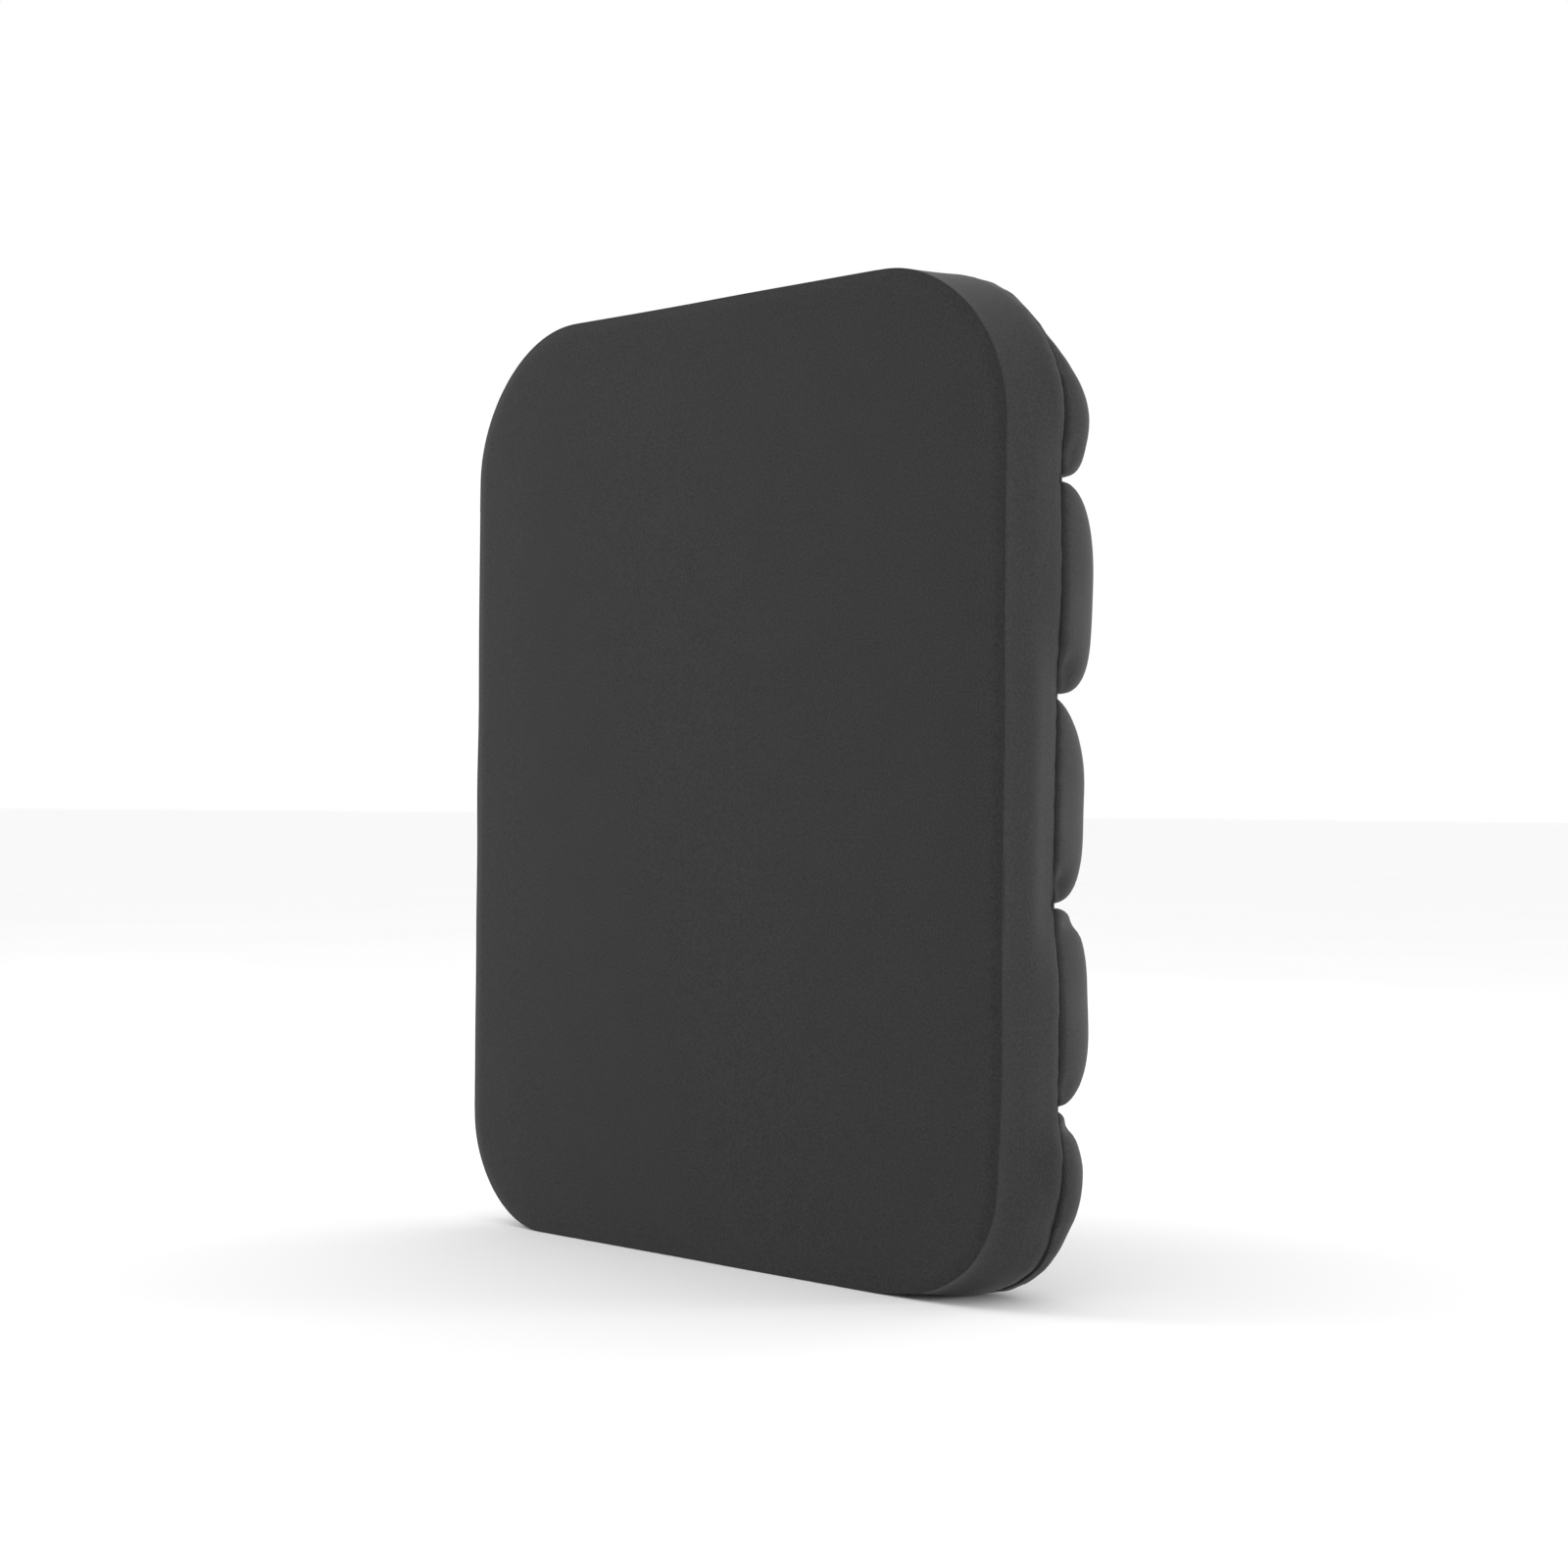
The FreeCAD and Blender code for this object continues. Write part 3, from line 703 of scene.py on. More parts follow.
def smooth_lumps(moved, sewn):
    """Evens out the small lumps of the swell, and leaves the sewn lines where they are."""
    for _ in range(3):
        for axis in (0, 1):
            before = np.take(moved, [0, *range(moved.shape[axis] - 1)], axis)
            after = np.take(moved, [*range(1, moved.shape[axis]), moved.shape[axis] - 1], axis)
            moved = (before + 2 * moved + after) / 4
        moved[sewn] = 0
    return moved


def double_lines(values):
    """Puts a value between every two, on a smooth curve through them, along both directions."""
    for axis in (0, 1):
        values = np.moveaxis(values, axis, 0)
        padded = np.concatenate([values[:1], values, values[-1:]])
        between = (9 * (padded[1:-2] + padded[2:-1]) - padded[:-3] - padded[3:]) / 16
        out = np.zeros((2 * len(values) - 1, *values.shape[1:]))
        out[::2] = values
        out[1::2] = between
        values = np.moveaxis(out, 0, axis)
    return values


def shoulder_folds(x, z, height):
    """The slack that settles into a fold on the upper shoulder of the two lowest outer cells."""
    total = np.zeros_like(x)
    for row, drop, lean, depth in ((2, 7.5 * MM, 0.08, 1.9 * MM), (1, 8 * MM, 0.12, 1.8 * MM)):
        top = ROW_EDGES[row]
        from_side = HALF - x
        line = top - drop - lean * from_side
        across = (z - line) / (3.2 * MM)
        reach = ease((from_side + 1 * MM) / (3 * MM)) * ease(1 - from_side / (46 * MM))
        inside = (z < top) & (z > ROW_EDGES[row - 1])
        total -= np.where(inside, depth * reach * np.exp(-across ** 2), 0)
    return total * ease(height / (6 * MM))


def channel_puckers(x, z, height):
    """Small gathers where the cover is drawn down to the channels, fading out at the right side."""
    total = np.zeros_like(x)
    fade = 1 - ease((x - HALF + 44 * MM) / (20 * MM))
    for number, cut in enumerate(COLUMN_CUTS):
        wave = wander(z + 0.25 * (x - cut), 13 * MM, 80 + number)
        total += wave * np.exp(-np.abs(x - cut) / (8 * MM))
    for number, cut in enumerate(ROW_CUTS):
        wave = wander(x + 0.25 * (z - cut), 12 * MM, 90 + number)
        total += wave * np.exp(-np.abs(z - cut) / (8 * MM)) * fade
    return 0.75 * MM * total * ease(height / (5 * MM))


def tucked_ends(x, z, height):
    """Hollows at the lower inner ends of the outer cells, where the filling hangs over the seam."""
    total = np.zeros_like(x)
    for row, up, depth in ((5, 8, 1.2), (4, 8, 3.0), (3, 8, 2.8), (2, 7, 1.2)):
        across = (z - ROW_EDGES[row - 1] - up * MM - 0.4 * height) / (5 * MM)
        total += depth * MM * np.exp(-across ** 2)
    return total * ease(height / (2 * MM)) * np.exp(-(height / (11 * MM)) ** 2) * ease(x / HALF * 4 - 2.8)


def soften_corners(x, z, height, sewn):
    """Rounds off the ridges of the four corner cells."""
    radius = arc_radius(z)
    in_corner = ease((np.abs(x) - HALF + radius * 1.25) / (20 * MM))
    in_corner = in_corner * ease((np.abs(z - MIDDLE) - MIDDLE + radius * 1.25) / (20 * MM))
    weight = in_corner * ease(edge_distance(x, z) / (9 * MM)) * ease(height / (14 * MM))
    soft = height
    for _ in range(40):
        soft = (np.roll(soft, 1, 0) + np.roll(soft, -1, 0) + np.roll(soft, 1, 1) + np.roll(soft, -1, 1)) / 4
    return np.where(sewn, 0, height * (1 - weight) + soft * weight)


def build_seat_cover(material):
    """The quilted cover of the sitting side, raised into its cells."""
    lines_x, skin_x = seat_lines(COLUMN_EDGES, COLUMN_SHAPES)
    row_shapes = [ROW_SHAPES[row] for row in range(1, ROWS + 1)]
    lines_z, skin_z = seat_lines(ROW_EDGES, row_shapes)
    x, z, height, sewn = seat_surface(lines_x, lines_z)
    height = soften_corners(x, z, height, sewn)
    out_x, out_z = outward(x, z)
    edge = edge_distance(x, z)
    share = np.clip(height / CROWN, 0, 1)
    near = np.clip(1 - edge / FLANK, 0, 1) ** 2
    swollen_side = SIDE_PUFF * (np.maximum(out_x, 0) ** 8 + 0.7 * np.maximum(-out_x, 0) ** 8)
    puff = swollen_side * 2.6 * share ** 2 * np.sqrt(1 - share) * near
    inset = 0.3 * MM * np.clip(1 - edge / (6 * MM), 0, 1) * (1 - ease(share * 9))
    push = seam_push(x, z) * np.clip(1 - edge / (30 * MM), 0, 1)
    grid_x = x + out_x * (puff - inset + push)
    grid_z = z + out_z * (puff - inset + push * push_down_share(z, out_z))
    grid_y = WEB_Y + height * 0.97
    half = (slice(None, None, DRAFT_STEP), slice(None, None, DRAFT_STEP))
    moved = swell(grid_x[half], grid_y[half], grid_z[half], sewn[half])
    far = np.linalg.norm(moved, axis=-1, keepdims=True)
    kept = SWELL_MOST * np.tanh(far / SWELL_MOST) / np.maximum(far, 1e-9)
    moved = smooth_lumps(moved * kept, sewn[half])
    moved = double_lines(moved) * ease(height / (6 * MM))[..., None]
    grid_x, grid_y, grid_z = grid_x + moved[..., 0], grid_y + moved[..., 1], grid_z + moved[..., 2]
    pucker_z = wander(grid_z, 9 * MM, 5) * np.exp(-edge / (7 * MM)) * np.abs(out_x)
    pucker_x = wander(grid_x, 9 * MM, 6) * np.exp(-edge / (7 * MM)) * np.abs(out_z)
    pucker = 0.5 * MM * (pucker_z + pucker_x) * ease(height / (3 * MM)) * np.exp(-height / (7 * MM))
    grid_x = grid_x + out_x * pucker
    grid_z = np.maximum(grid_z + out_z * pucker, 0.3 * MM)
    folds = shoulder_folds(x, z, height)
    grid_x = grid_x - tucked_ends(x, z, height)
    grid_y = grid_y + folds * 0.8 + channel_puckers(x, z, height)
    grid_x = grid_x + folds * 0.8 * np.clip(1 - edge / (20 * MM), 0, 1)
    grid_z = grid_z + slump(x, z)
    points = np.stack([grid_x, grid_y, grid_z], -1).reshape(-1, 3)
    flat = np.stack(np.meshgrid(skin_x / MM, skin_z / MM, indexing="ij"), -1).reshape(-1, 2)
    piece = make_piece("seat_quilt", points, grid_faces(*x.shape, True), flat)
    thicken(piece, CLOTH)
    return finish_piece(piece, material, "seat_panel")


# ---------------------------------------------------------------- underside and gusset covers
def border_lines(half_width, centre):
    """Mesh lines across the underside, close together at its edges."""
    steps = [0, 0.35, 0.7, 1.1, 1.6, 2.2, 3, 4, 5.3, 7, 9, 11.5, 14.5, 18, 22, 27, 33, 40, 47, 54, 61]
    near = np.array(steps) * MM
    count = int(round((half_width - near[-1]) / (7 * MM))) * 2
    inner = np.linspace(-half_width + near[-1], half_width - near[-1], count + 1)
    return centre + np.concatenate([-half_width + near[:-1], inner, half_width - near[:-1][::-1]])


def build_underside(material):
    """The plain panel that the cushion lies on."""
    lines_x = border_lines(HALF - 0.2 * MM, 0.0)
    lines_z = border_lines(MIDDLE - 0.2 * MM, MIDDLE)
    grid_x, grid_z = np.meshgrid(lines_x, lines_z, indexing="ij")
    x, z = bend_corners(grid_x, grid_z)
    edge = edge_distance(x, z)
    dip = 0.85 * MM * np.exp(-(edge / (3.2 * MM)) ** 2) + 0.3 * MM * np.clip(1 - edge / (0.9 * MM), 0, 1)
    pucker = 0.10 * MM * (wander(z, 11 * MM, 11) + wander(x, 11 * MM, 12)) * np.exp(-edge / (6 * MM))
    waves = 0.22 * MM * wander(x + 0.3 * z, 150 * MM, 13) * ease(edge / (30 * MM))
    y = FACE_Y + face_drop(x, z) + dip + pucker + waves + 0.15 * MM
    flat = np.stack([x, z], -1).reshape(-1, 2) / MM
    out_x, out_z = outward(x, z)
    near = np.clip(1 - edge / (20 * MM), 0, 1)
    rolled, leaned = left_roll(x, z) * near, right_lean(x, z) * near
    x = x - rolled - out_x * leaned
    z = z - out_z * leaned
    points = np.stack([x, y, z], -1).reshape(-1, 3)
    piece = make_piece("underside_cover", points, grid_faces(*x.shape, False), flat)
    thicken(piece, CLOTH)
    return finish_piece(piece, material, "underside_panel")


def outline_walk(spacing):
    """Stations round the gusset from the lower to the upper end of the zip window:
    place, outward direction and length so far."""
    bottom, top = BOTTOM_RADIUS, TOP_RADIUS
    runs = [
        ("line", (-HALF, WINDOW_LOW), (-HALF, bottom)),
        ("arc", (-HALF + bottom, bottom), bottom, 180, 270),
        ("line", (-HALF + bottom, 0), (HALF - bottom, 0)),
        ("arc", (HALF - bottom, bottom), bottom, 270, 360),
        ("line", (HALF, bottom), (HALF, LENGTH - top)),
        ("arc", (HALF - top, LENGTH - top), top, 0, 90),
        ("line", (HALF - top, LENGTH), (-HALF + top, LENGTH)),
        ("arc", (-HALF + top, LENGTH - top), top, 90, 180),
        ("line", (-HALF, LENGTH - top), (-HALF, WINDOW_HIGH)),
    ]
    found = []
    for run in runs:
        if run[0] == "line":
            start, end = np.array(run[1]), np.array(run[2])
            count = max(2, int(round(np.linalg.norm(end - start) / spacing)))
            along = (end - start) / np.linalg.norm(end - start)
            for k in range(count):
                place = start + (end - start) * k / count
                found.append((place[0], place[1], along[1], -along[0]))
        else:
            _, centre, radius, first, last = run
            count = max(2, int(round(math.radians(last - first) * radius / spacing)))
            for k in range(count):
                turn = math.radians(first + (last - first) * k / count)
                nx, nz = math.cos(turn), math.sin(turn)
                found.append((centre[0] + radius * nx, centre[1] + radius * nz, nx, nz))
    found.append((-HALF, WINDOW_HIGH, -1.0, 0.0))
    return found


# Front and back parts of the gusset's section: (y, outwards) in millimetres.
FRONT_SECTION = [
    (-27.2, -1.9), (-28.1, -1.5), (-28.7, -1.05), (-28.95, -0.65), (-28.98, -0.35), (-28.8, -0.12),
    (-28.4, -0.02), (-27.8, 0.01), (-26.8, 0.02), (-25.6, 0.01), (-24.5, 0.0),
]
BACK_SECTION = [
    (-3.4, 0.0), (-2.6, -0.02), (-1.8, -0.06), (-0.9, -0.15), (0.0, -0.26), (0.8, -0.38),
    (1.4, -0.5), (1.9, -0.64), (2.25, -0.86), (2.42, -1.2), (2.42, -1.7), (2.2, -2.3),
]


def section_span(low, high, step):
    """Flat part of the gusset's section between two depths."""
    count = int(round((high - low) / step))
    return [(low + (high - low) * k / count, 0.0) for k in range(1, count)]


def build_gusset(material):
    """The band round the cushion between the underside and the quilted side."""
    section = FRONT_SECTION + section_span(-24.5, -3.2, 2.1) + BACK_SECTION
    stations = np.array(outline_walk(2.6 * MM))
    depth = np.array([p[0] for p in section]) * MM
    out = np.array([p[1] for p in section]) * MM
    x0, z0 = stations[:, 0], stations[:, 1]
    nx, nz = stations[:, 2], stations[:, 3]
    length = np.concatenate([[0], np.cumsum(np.hypot(np.diff(x0), np.diff(z0)))])
    back = ease((depth + 15 * MM) / (17 * MM))[None, :]
    drop = face_drop(x0, z0)[:, None] * drop_share(depth)[None, :]
    push = seam_push(x0, z0)[:, None] * back
    slack = 0.35 * MM * wander(length, 90 * MM, 21)[:, None] * np.sin(math.pi * np.linspace(0, 1, len(depth)))
    rim = np.exp(-((depth - 1 * MM) / (4 * MM)) ** 2)[None, :]
    pucker = 0.16 * MM * wander(length, 10 * MM, 22)[:, None] * rim
    rolled = left_roll(x0, z0)[:, None] * roll_share(depth)[None, :]
    leaned = right_lean(x0, z0)[:, None] * ease((-9 * MM - depth) / (20 * MM))[None, :]
    sideways = out[None, :] + slack * (1 - np.maximum(-nz, 0))[:, None] + pucker + push + rolled - leaned
    x = x0[:, None] + nx[:, None] * sideways
    kept_up = push * (push_down_share(z0, nz) - 1)[:, None]
    z = np.maximum(z0[:, None] + nz[:, None] * (sideways + kept_up), 0)
    y = depth[None, :] + drop
    skin = np.concatenate([[0], np.cumsum(np.hypot(np.diff(depth), np.diff(out)))])
    points = np.stack([x, y, z], -1).reshape(-1, 3)
    flat = np.stack(np.meshgrid(length / MM, skin / MM, indexing="ij"), -1).reshape(-1, 2)
    piece = make_piece("gusset_cover", points, grid_faces(*x.shape, True), flat)
    thicken(piece, CLOTH)
    return finish_piece(piece, material, "gusset_band")


# ---------------------------------------------------------------- the zip side
LOWER_STRIP_SECTION = FRONT_SECTION + [
    (-23.0, 0.0), (-21.5, 0.02), (-20.0, 0.05), (-19.45, 0.0), (-19.1, -0.25), (-19.0, -0.7),
    (-19.0, -2.2), (-19.15, -2.7), (-19.6, -2.9), (-21.5, -2.95), (-23.4, -2.9), (-23.9, -2.6),
    (-24.0, -1.6), (-26.0, -1.5), (-28.0, -1.6),
]
UPPER_STRIP_SECTION = [
    (0.6, -2.6), (-1.5, -1.7), (-3.9, -1.5), (-4.0, -2.6), (-4.5, -2.9), (-6.4, -2.95), (-8.4, -2.9),
    (-8.85, -2.7), (-9.0, -2.2), (-9.0, -0.7), (-8.9, -0.25), (-8.55, 0.0), (-8.0, 0.05), (-6.6, 0.02),
    (-5.0, 0.0),
] + BACK_SECTION


def left_side(low, high, spacing):
    """Stations up the flat left side, from the upper end down, as the gusset's walk goes."""
    count = max(2, int(round((high - low) / spacing)))
    return [(-HALF, high - (high - low) * k / count, -1.0, 0.0) for k in range(count + 1)]


def strip_roll(y, z):
    """How far the left side's roll carries the zip side's cloth outwards."""
    return left_roll(np.full_like(z, -HALF), z) * roll_share(y)


def sag_strip(points, seed):
    """Gives a strip the slight waver of sewn cloth and follows the underside's rolled edge."""
    points = np.array(points)
    x, y, z = points.T
    inward = np.sin(math.pi * np.clip((z - WINDOW_LOW) / (WINDOW_HIGH - WINDOW_LOW), 0, 1))
    waver = 0.22 * MM * wander(z, 38 * MM, seed) * inward
    drop = face_drop(np.full_like(z, -HALF), z) * drop_share(y)
    y = y + drop + waver * ease((y + 29 * MM) / (8 * MM)) * (y < 0)
    x = x - 0.25 * MM * wander(z, 60 * MM, seed + 1) * inward
    return np.stack([x - strip_roll(y, z), y, z], -1)


def build_strips(material):
    """The two hemmed strips that leave the zip's slot open between them."""
    made = []
    for name, section, seed in (
        ("gusset_hem_lower", LOWER_STRIP_SECTION, 31),
        ("gusset_hem_upper", UPPER_STRIP_SECTION, 41),
    ):
        stations = left_side(WINDOW_LOW, WINDOW_HIGH, 3 * MM)
        points, faces, flat = swept_bar(stations, section)
        piece = make_piece(name, sag_strip(points, seed), faces, flat)
        node = name.replace("hem", "strip")
        made.append(finish_piece(piece, material, node))
    return made


def build_tapes(material):
    """The zip's two woven tapes, each with a fuller sewn edge under its teeth."""
    made = []
    for name in ("zip_tape_lower", "zip_tape_upper"):
        low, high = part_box(name)
        lower = name.endswith("lower")
        edge, far = (high.y, low.y) if lower else (low.y, high.y)
        way = 1 if far > edge else -1
        thick = high.x - low.x
        out_low, out_high = -HALF - high.x, -HALF - low.x
        across = [(0.0, 0.30), (0.15, 0.02), (1.9, 0.0), (2.2, 0.22), (2.7, 0.22), (3.0, 0.04)]
        section = [(edge + way * a * MM, out_high - cut * thick) for a, cut in across]
        for k in range(6):
            section.append((edge + way * (4.0 + k * 1.1) * MM, out_high - thick * (0.05 if k % 2 else 0.14)))
        rear = out_low + 0.1 * thick
        section += [(far, out_high - 0.35 * thick), (far, rear), (edge, rear)]
        profile = [(y / MM, out / MM) for y, out in section]
        if not lower:
            profile = profile[::-1]
        stations = left_side(low.z, high.z, 6 * MM)
        points, faces, flat = swept_bar(stations, profile)
        faces = [tuple(reversed(face)) for face in faces]
        piece = make_piece(name.replace("zip_", "woven_"), points, faces, flat)
        made.append(finish_piece(piece, material, name))
    return made


def build_end_patches(material):
    """Folded patches behind both ends of the zip."""
    for name in ("zip_end_patch_bottom", "zip_end_patch_top"):
        low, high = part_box(name)
        lines_y = np.linspace(low.y, high.y, 19)
        lines_z = np.linspace(low.z, high.z, 11)
        y, z = np.meshgrid(lines_y, lines_z, indexing="ij")
        edge = np.minimum(np.minimum(y - low.y, high.y - y), np.minimum(z - low.z, high.z - z))
        full = rise(np.maximum(edge, 0), 1.2 * MM, 2.0)
        middle, half = (low.x + high.x) / 2, (high.x - low.x) / 2
        near = middle - half * full
        rear = middle + half * full
        piece = pillow(name.replace("zip_end_", "folded_"), y, z, near, rear)
        turn = np.array([v.co for v in piece.data.vertices])
        piece.data.vertices.foreach_set("co", turn[:, [1, 0, 2]].ravel())
        piece.data.flip_normals()
        finish_piece(piece, material, name)


# ---------------------------------------------------------------- what fills the cover
def behind_zip(z):
    """Which heights lie behind the zip, from 0 to 1."""
    return ease((z - 40 * MM) / (8 * MM)) * ease((LENGTH - 60 * MM - z) / (8 * MM))


def build_foam_slab(material):
    """The firm slab under the quilted part, eased back behind the zip."""
    low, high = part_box("foam_base_slab")
    lines_x = border_lines(HALF - SLAB_INSET, 0.0)
    lines_z = border_lines(MIDDLE - SLAB_INSET, MIDDLE)
    grid_x, grid_z = np.meshgrid(lines_x, lines_z, indexing="ij")
    x, z = bend_corners(grid_x, grid_z)
    edge = np.maximum(edge_distance(x, z) - SLAB_INSET, 0)
    full = rise(edge, 6 * MM, 2.4)
    top = high.y - 0.25 * MM
    bottom = low.y + 0.45 * MM + face_drop(x, z) * 1.05 + 1.0 * MM * np.exp(-edge / (2.5 * MM))
    middle = (top + bottom) / 2
    slider_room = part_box("zip_slider")[1].x + SLIDER_GAP - (-HALF + SLAB_INSET)
    zip_room = slider_room / (1 - SLAB_INSET / EASED_OVER)
    zip_room = zip_room * behind_zip(z) * np.clip(1 - (x + HALF) / EASED_OVER, 0, 1)
    drawn_in = np.minimum(seam_push(x, z), 0) - 0.8 * MM * ease(x / HALF * 4)
    x = x + zip_room + drawn_in * ease((30 * MM - edge) / (30 * MM))
    front = middle - (middle - bottom) * full
    back = middle + (top - middle) * full
    piece = pillow("foam_slab", x, z, front, back)
    finish_piece(piece, material, "foam_base_slab")


def build_lining(material):
    """The thin cloth under the filling that the channels are sewn down to."""
    low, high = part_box("quilt_lining")
    inset = 3.4 * MM
    lines_x = border_lines(HALF - inset, 0.0)
    lines_z = border_lines(MIDDLE - inset, MIDDLE)
    grid_x, grid_z = np.meshgrid(lines_x, lines_z, indexing="ij")
    x, z = bend_corners(grid_x, grid_z)
    edge = edge_distance(x, z)
    x = x + 1.6 * MM * behind_zip(z) * np.clip(1 - (x + HALF) / EASED_OVER, 0, 1)
    drawn_in = np.minimum(seam_push(x, z), 0) - 0.6 * MM * ease(x / HALF * 4)
    x = x + drawn_in * ease((30 * MM - edge) / (30 * MM))
    half = (high.y - low.y) / 2
    waves = 0.12 * MM * wander(x, 40 * MM, 51) * wander(z, 40 * MM, 52)
    thin = half * 0.8 * rise(np.maximum(edge - inset, 0), 0.8 * MM, 2.0)
    piece = pillow("lining_sheet", x, z, waves - thin, waves + thin)
    finish_piece(piece, material, "quilt_lining")


def build_pad(material, row, column):
    """One soft pad, shaped like the inside of its cell."""
    low, high = pad_box(row, column)
    x0, x1 = COLUMN_EDGES[column - 1], COLUMN_EDGES[column]
    z0, z1 = ROW_EDGES[row - 1], ROW_EDGES[row]
    turn = (1 - np.cos(np.linspace(0, math.pi, 29))) / 2
    lines = 0.35 * np.linspace(0, 1, 29) + 0.65 * turn
    grid_x, grid_z = np.meshgrid(x0 + (x1 - x0) * lines, z0 + (z1 - z0) * lines, indexing="ij")
    x, z = bend_corners(grid_x, grid_z)
    height = skin_height(x, z, row, column)
    share_x, share_z = (x - x0) / (x1 - x0), (z - z0) / (z1 - z0)
    inner_x = low.x + (high.x - low.x) * share_x
    inner_z = low.z + (high.z - low.z) * share_z
    rest = np.minimum(share_x, 1 - share_x) * np.minimum(share_z, 1 - share_z)
    base = low.y + 0.6 * MM
    top = np.maximum(WEB_Y + height * 0.90 - CLOTH - 1.2 * MM, base + 0.4 * MM * rise(rest, 0.02, 2.0))
    loft = 0.35 * MM * wander(inner_x, 22 * MM, 60 + row) * wander(inner_z, 22 * MM, 70 + column)
    top = top + loft * np.clip(height / CROWN, 0, 1)
    bottom = np.minimum(base + 0.4 * MM * (1 - rise(rest, 0.03, 2.0)), top)
    inner_x = inner_x + seam_push(x, z) * 0.9 * np.clip(1 - edge_distance(x, z) / (40 * MM), 0, 1)
    piece = pillow(f"soft_pad_r{row}_c{column}", inner_x, inner_z + slump(x, z), bottom, top)
    finish_piece(piece, material, f"cell_pad_r{row}_c{column}")


# ---------------------------------------------------------------- stitches and zip coil
def repeat_along(name, element, paths, material, slot, nodes=(), **sizes):
    """Sets a small element at a fixed pitch along paths, by geometry nodes, and keeps the mesh."""
    tree = bpy.data.node_groups.new(name, "GeometryNodeTree")
    face = tree.interface
    face.new_socket("Path", in_out="INPUT", socket_type="NodeSocketGeometry")
    for label in ("Pitch", "Length", "Width", "Thickness"):
        face.new_socket(label, in_out="INPUT", socket_type="NodeSocketFloat")
    face.new_socket("Finish", in_out="INPUT", socket_type="NodeSocketMaterial")
    face.new_socket("Pieces", in_out="OUTPUT", socket_type="NodeSocketGeometry")
    maker = Nodes(tree)
    given = tree.nodes.new("NodeGroupInput")
    path, pitch, length, width, thickness, finish = (Wire(maker, given.outputs[k]) for k in range(6))
    curve = maker.node("GeometryNodeMeshToCurve", None, {"Mesh": path})
    spots = maker.node("GeometryNodeCurveToPoints", {"mode": "LENGTH"}, {"Curve": curve, "Length": pitch})
    turn = Wire(maker, spots.socket.node.outputs["Rotation"])
    if element == "stitch":
        bead = maker.node("GeometryNodeMeshUVSphere", None, {"Segments": 6, "Rings": 5, "Radius": 0.5})
        size = maker.node("ShaderNodeCombineXYZ", None, {0: thickness, 1: thickness, 2: length})
        shape = maker.node("GeometryNodeTransform", None, {"Geometry": bead, "Scale": size})
        values = {"Points": spots, "Instance": shape, "Rotation": turn}
    else:
        by_radius = {"mode": "RADIUS"}
        circle = "GeometryNodeCurvePrimitiveCircle"
        loop = maker.node(circle, by_radius, {"Resolution": 10, "Radius": 0.5})
        size = maker.node("ShaderNodeCombineXYZ", None, {0: width, 1: length, 2: 1.0})
        oval = maker.node("GeometryNodeTransform", None, {"Geometry": loop, "Scale": size})
        wire = maker.node(circle, by_radius, {"Resolution": 5, "Radius": thickness * 0.5})
        shape = maker.node("GeometryNodeCurveToMesh", None, {"Curve": oval, "Profile Curve": wire})
        values = {"Points": spots, "Instance": shape}
    many = maker.node("GeometryNodeInstanceOnPoints", None, values)
    solid = maker.node("GeometryNodeRealizeInstances", None, {"Geometry": many})
    soft = maker.node("GeometryNodeSetShadeSmooth", None, {"Geometry": solid})
    dressed = maker.node("GeometryNodeSetMaterial", None, {"Geometry": soft, "Material": finish})
    output = tree.nodes.new("NodeGroupOutput")
    tree.links.new(dressed.socket, output.inputs[0])
    points, edges = [], []
    for line in paths:
        first = len(points)
        points += [tuple(p) for p in line]
        edges += [(first + k, first + k + 1) for k in range(len(line) - 1)]
    mesh = bpy.data.meshes.new(name)
    mesh.from_pydata(points, edges, [])
    piece = bpy.data.objects.new(name, mesh)
    bpy.context.scene.collection.objects.link(piece)
    modifier = piece.modifiers.new("repeat", "NODES")
    modifier.node_group = tree
    sockets = {item.name: item.identifier for item in face.items_tree if item.in_out == "INPUT"}
    for label, value in sizes.items():
        modifier[sockets[label]] = value
    modifier[sockets["Finish"]] = material
    evaluated = piece.evaluated_get(bpy.context.evaluated_depsgraph_get())
    plain = bpy.data.meshes.new_from_object(evaluated)
    piece.modifiers.clear()
    piece.data = plain
    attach(piece, "cushion")
    if nodes:
        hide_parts(*nodes)


def sew_channels(material):
    """The stitched lines down and across the quilted seat."""
    paths = []
    for cut in COLUMN_CUTS:
        z = np.linspace(4 * MM, LENGTH - 4 * MM, 81)
        x = np.full_like(z, cut)
        paths.append(np.stack([x, np.full_like(z, WEB_Y + 0.12 * MM), z + slump(x, z)], -1))
    for cut in ROW_CUTS:
        x = np.linspace(-HALF + 5 * MM, HALF - 6 * MM, 65)
        z = np.full_like(x, cut)
        paths.append(np.stack([x, np.full_like(z, WEB_Y + 0.12 * MM), z + slump(x, z)], -1))
    sizes = {"Pitch": 3.3 * MM, "Length": 2.7 * MM, "Width": 0.0, "Thickness": 0.55 * MM}
    repeat_along("channel_stitches", "stitch", paths, material, "cover_knit", **sizes)


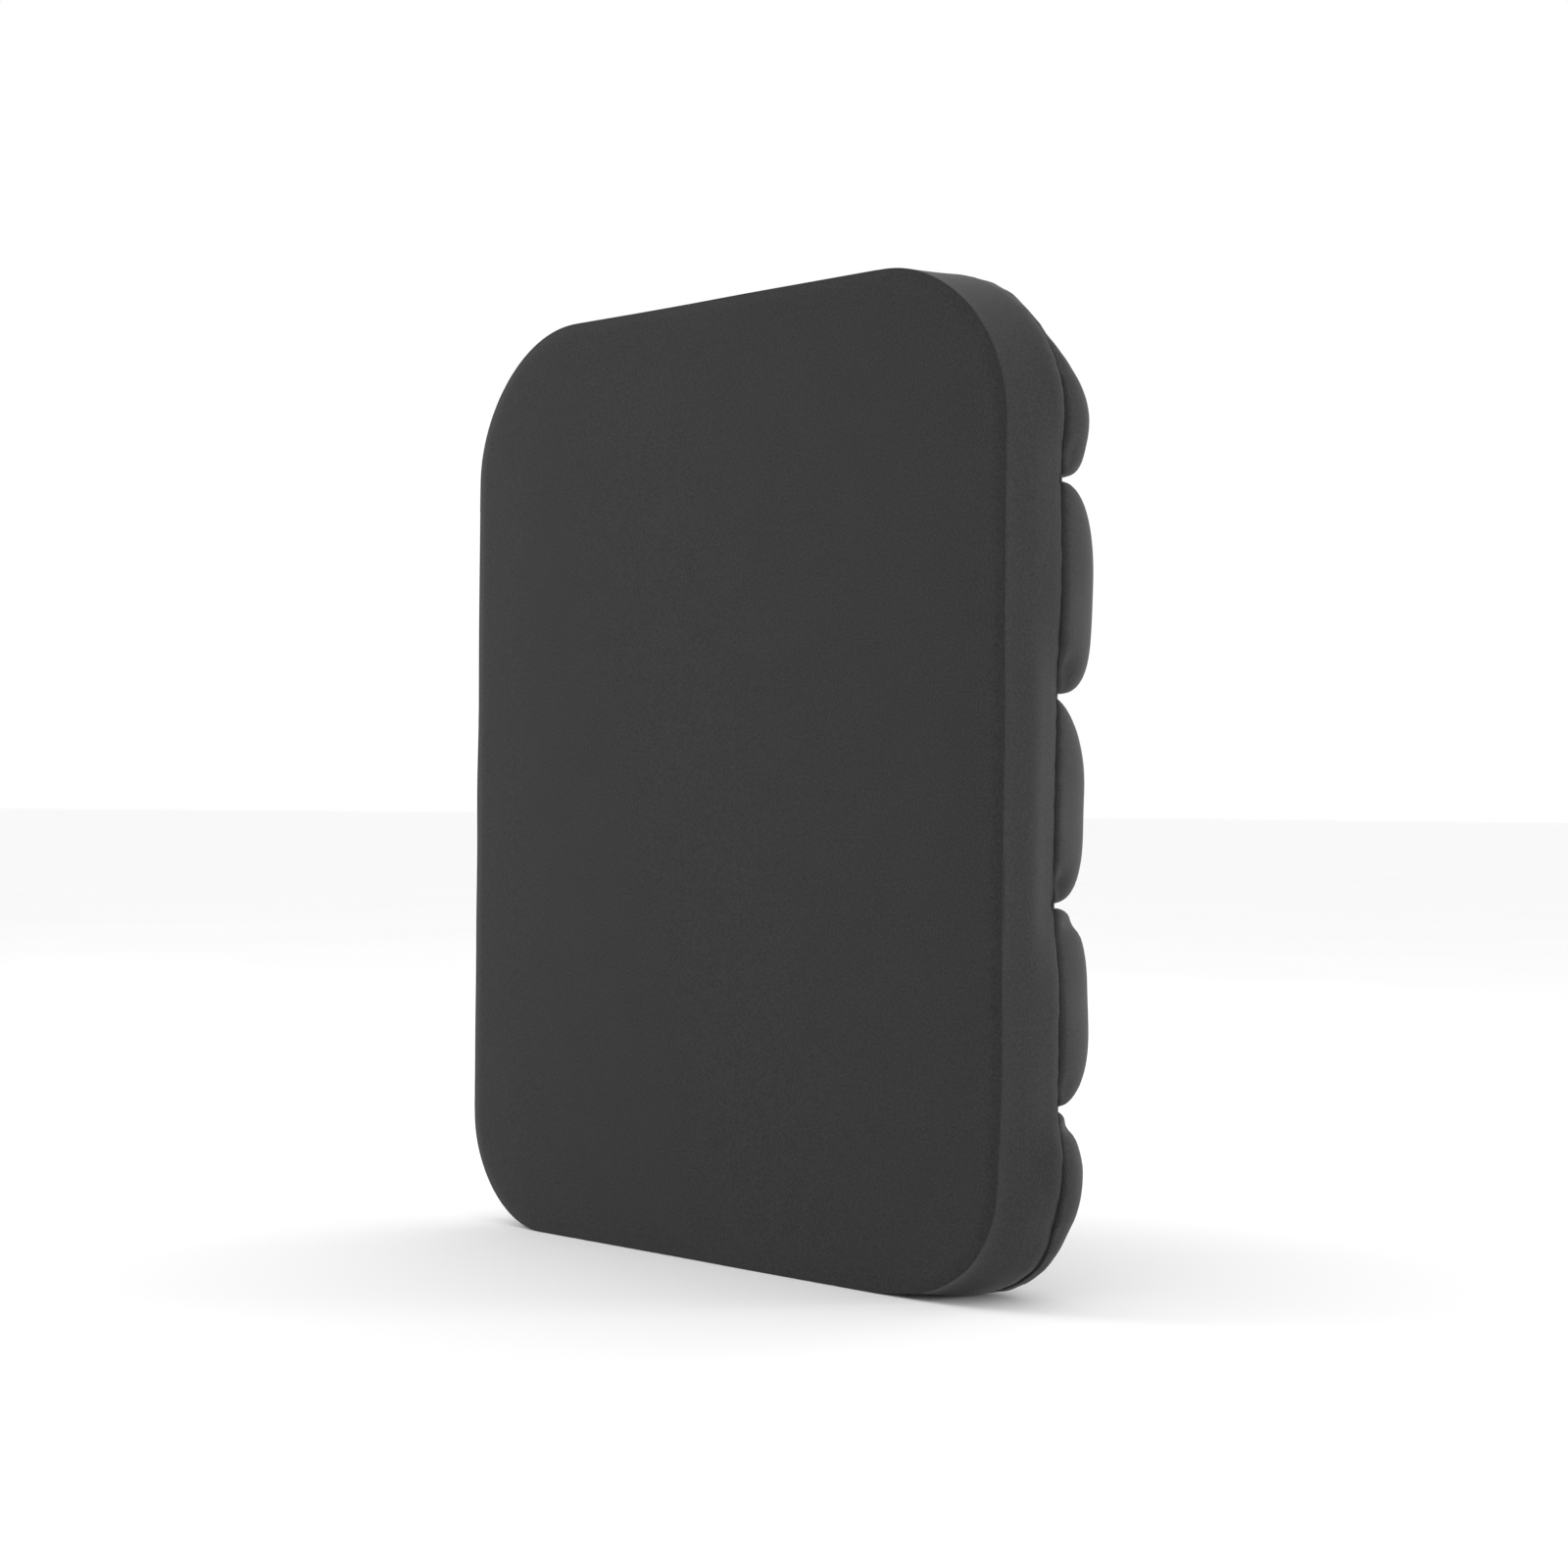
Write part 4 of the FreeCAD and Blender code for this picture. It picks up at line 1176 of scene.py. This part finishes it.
def sew_hems(material):
    """Two rows of stitches beside the zip's slot and one across each end of it."""
    out = -HALF - 0.06 * MM
    beside = 2.4 * MM
    paths = []
    for depth in (SLOT_LOW - beside, SLOT_HIGH + beside):
        z = np.linspace(WINDOW_LOW - beside, WINDOW_HIGH + beside, 60)
        y = np.full_like(z, depth)
        paths.append(np.stack([out - strip_roll(y, z), y, z], -1))
    for height in (WINDOW_LOW - beside, WINDOW_HIGH + beside):
        y = np.linspace(SLOT_LOW - beside + 3 * MM, SLOT_HIGH + beside - 3 * MM, 6)
        z = np.full_like(y, height)
        paths.append(np.stack([out - strip_roll(y, z), y, z], -1))
    sizes = {"Pitch": 3.0 * MM, "Length": 2.4 * MM, "Width": 0.0, "Thickness": 0.5 * MM}
    repeat_along("hem_stitches", "stitch", paths, material, "cover_knit", **sizes)


def build_zip_coil(material):
    """The two rows of coil teeth, which stop just short of the wedge inside the slider."""
    travel = next(joint["range_m"][1] for joint in frame["joints"] if joint["name"] == "zip_slide")
    pitch = travel / round(travel / COIL_PITCH)
    for name, side, start in (("zip_teeth_lower", -1, 0.0), ("zip_teeth_upper", 1, 0.5)):
        low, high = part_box(name)
        middle = (SLOT_LOW + SLOT_HIGH) / 2
        far = low.y if side < 0 else high.y
        reach = abs(far - middle) - WEDGE_ROOM
        centre = far - side * reach / 2
        x = (low.x + high.x) / 2
        z0 = low.z + (0.2 + start) * pitch
        turns = math.floor((high.z - 0.4 * pitch - z0) / pitch)
        z1 = z0 + (turns + 0.001) * pitch
        path = [(x, centre, z) for z in np.linspace(z0, z1, 3)]
        width = high.x - low.x - COIL_WIRE
        sizes = {"Pitch": pitch, "Length": reach - COIL_WIRE, "Width": width, "Thickness": COIL_WIRE}
        coil = name.replace("teeth", "coil")
        repeat_along(coil, "coil", [path], material, "zip_teeth", [name], **sizes)


def lay_floor():
    """A wide round floor under the cushion's standing end."""
    radius, sides = 40, 96
    turns = [math.tau * k / sides for k in range(sides)]
    ring = [(radius * math.cos(turn), radius * math.sin(turn), 0) for turn in turns]
    mesh = bpy.data.meshes.new("floor")
    mesh.from_pydata(ring, [], [tuple(range(sides))])
    floor = bpy.data.objects.new("floor", mesh)
    bpy.context.scene.collection.objects.link(floor)
    floor.data.materials.append(floor_finish())


# ---------------------------------------------------------------- everything together
aim_camera()
light_studio()

knit = knit_finish("charcoal_knit", (0.0114, 0.0114, 0.0118), (0.0342, 0.0342, 0.0349))
lining = weave_finish("pale_lining", (0.42, 0.42, 0.41), (0.56, 0.56, 0.55), 0.45)
# The foam is coloured dark charcoal as painted shade: where it shows through the zip's slot and other gaps, its
# colour stands in for the shadow there.
foam = foam_finish("foam_dark_painted_shade", (0.022, 0.022, 0.023), (0.040, 0.040, 0.041))
filling = fill_finish("fibre_filling", (0.66, 0.66, 0.65), (0.84, 0.84, 0.83))
tape = weave_finish("zip_tape_weave", (0.012, 0.012, 0.0125), (0.034, 0.034, 0.035), 0.5)
nylon = plastic_finish("coil_nylon", (0.020, 0.020, 0.021), (0.034, 0.034, 0.035), 0.42)
lacquer = plastic_finish("black_lacquer", (0.020, 0.020, 0.021), (0.040, 0.040, 0.042), 0.34)
thread = thread_finish("charcoal_thread", (0.018, 0.018, 0.019), (0.055, 0.055, 0.056))

FINISHES = {
    "cover_knit": knit, "lining_cloth": lining, "firm_foam": foam, "soft_fill": filling,
    "zip_tape": tape, "zip_teeth": nylon, "zip_metal": lacquer,
}
for subpart in frame["record"]["subparts"]:
    cad_materials = frame["nodes"][subpart["node"]].data.materials
    cad_materials.clear()
    cad_materials.append(FINISHES[subpart["material_slot"]])

seat_cover = build_seat_cover(knit)
underside = build_underside(knit)
gusset = build_gusset(knit)
for strip in build_strips(knit):
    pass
for zip_tape in build_tapes(tape):
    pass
build_end_patches(tape)
build_foam_slab(foam)
build_lining(lining)
for pad_row in range(1, ROWS + 1):
    for pad_column in range(1, COLUMNS + 1):
        build_pad(filling, pad_row, pad_column)
sew_channels(thread)
sew_hems(thread)
build_zip_coil(nylon)

lay_floor()
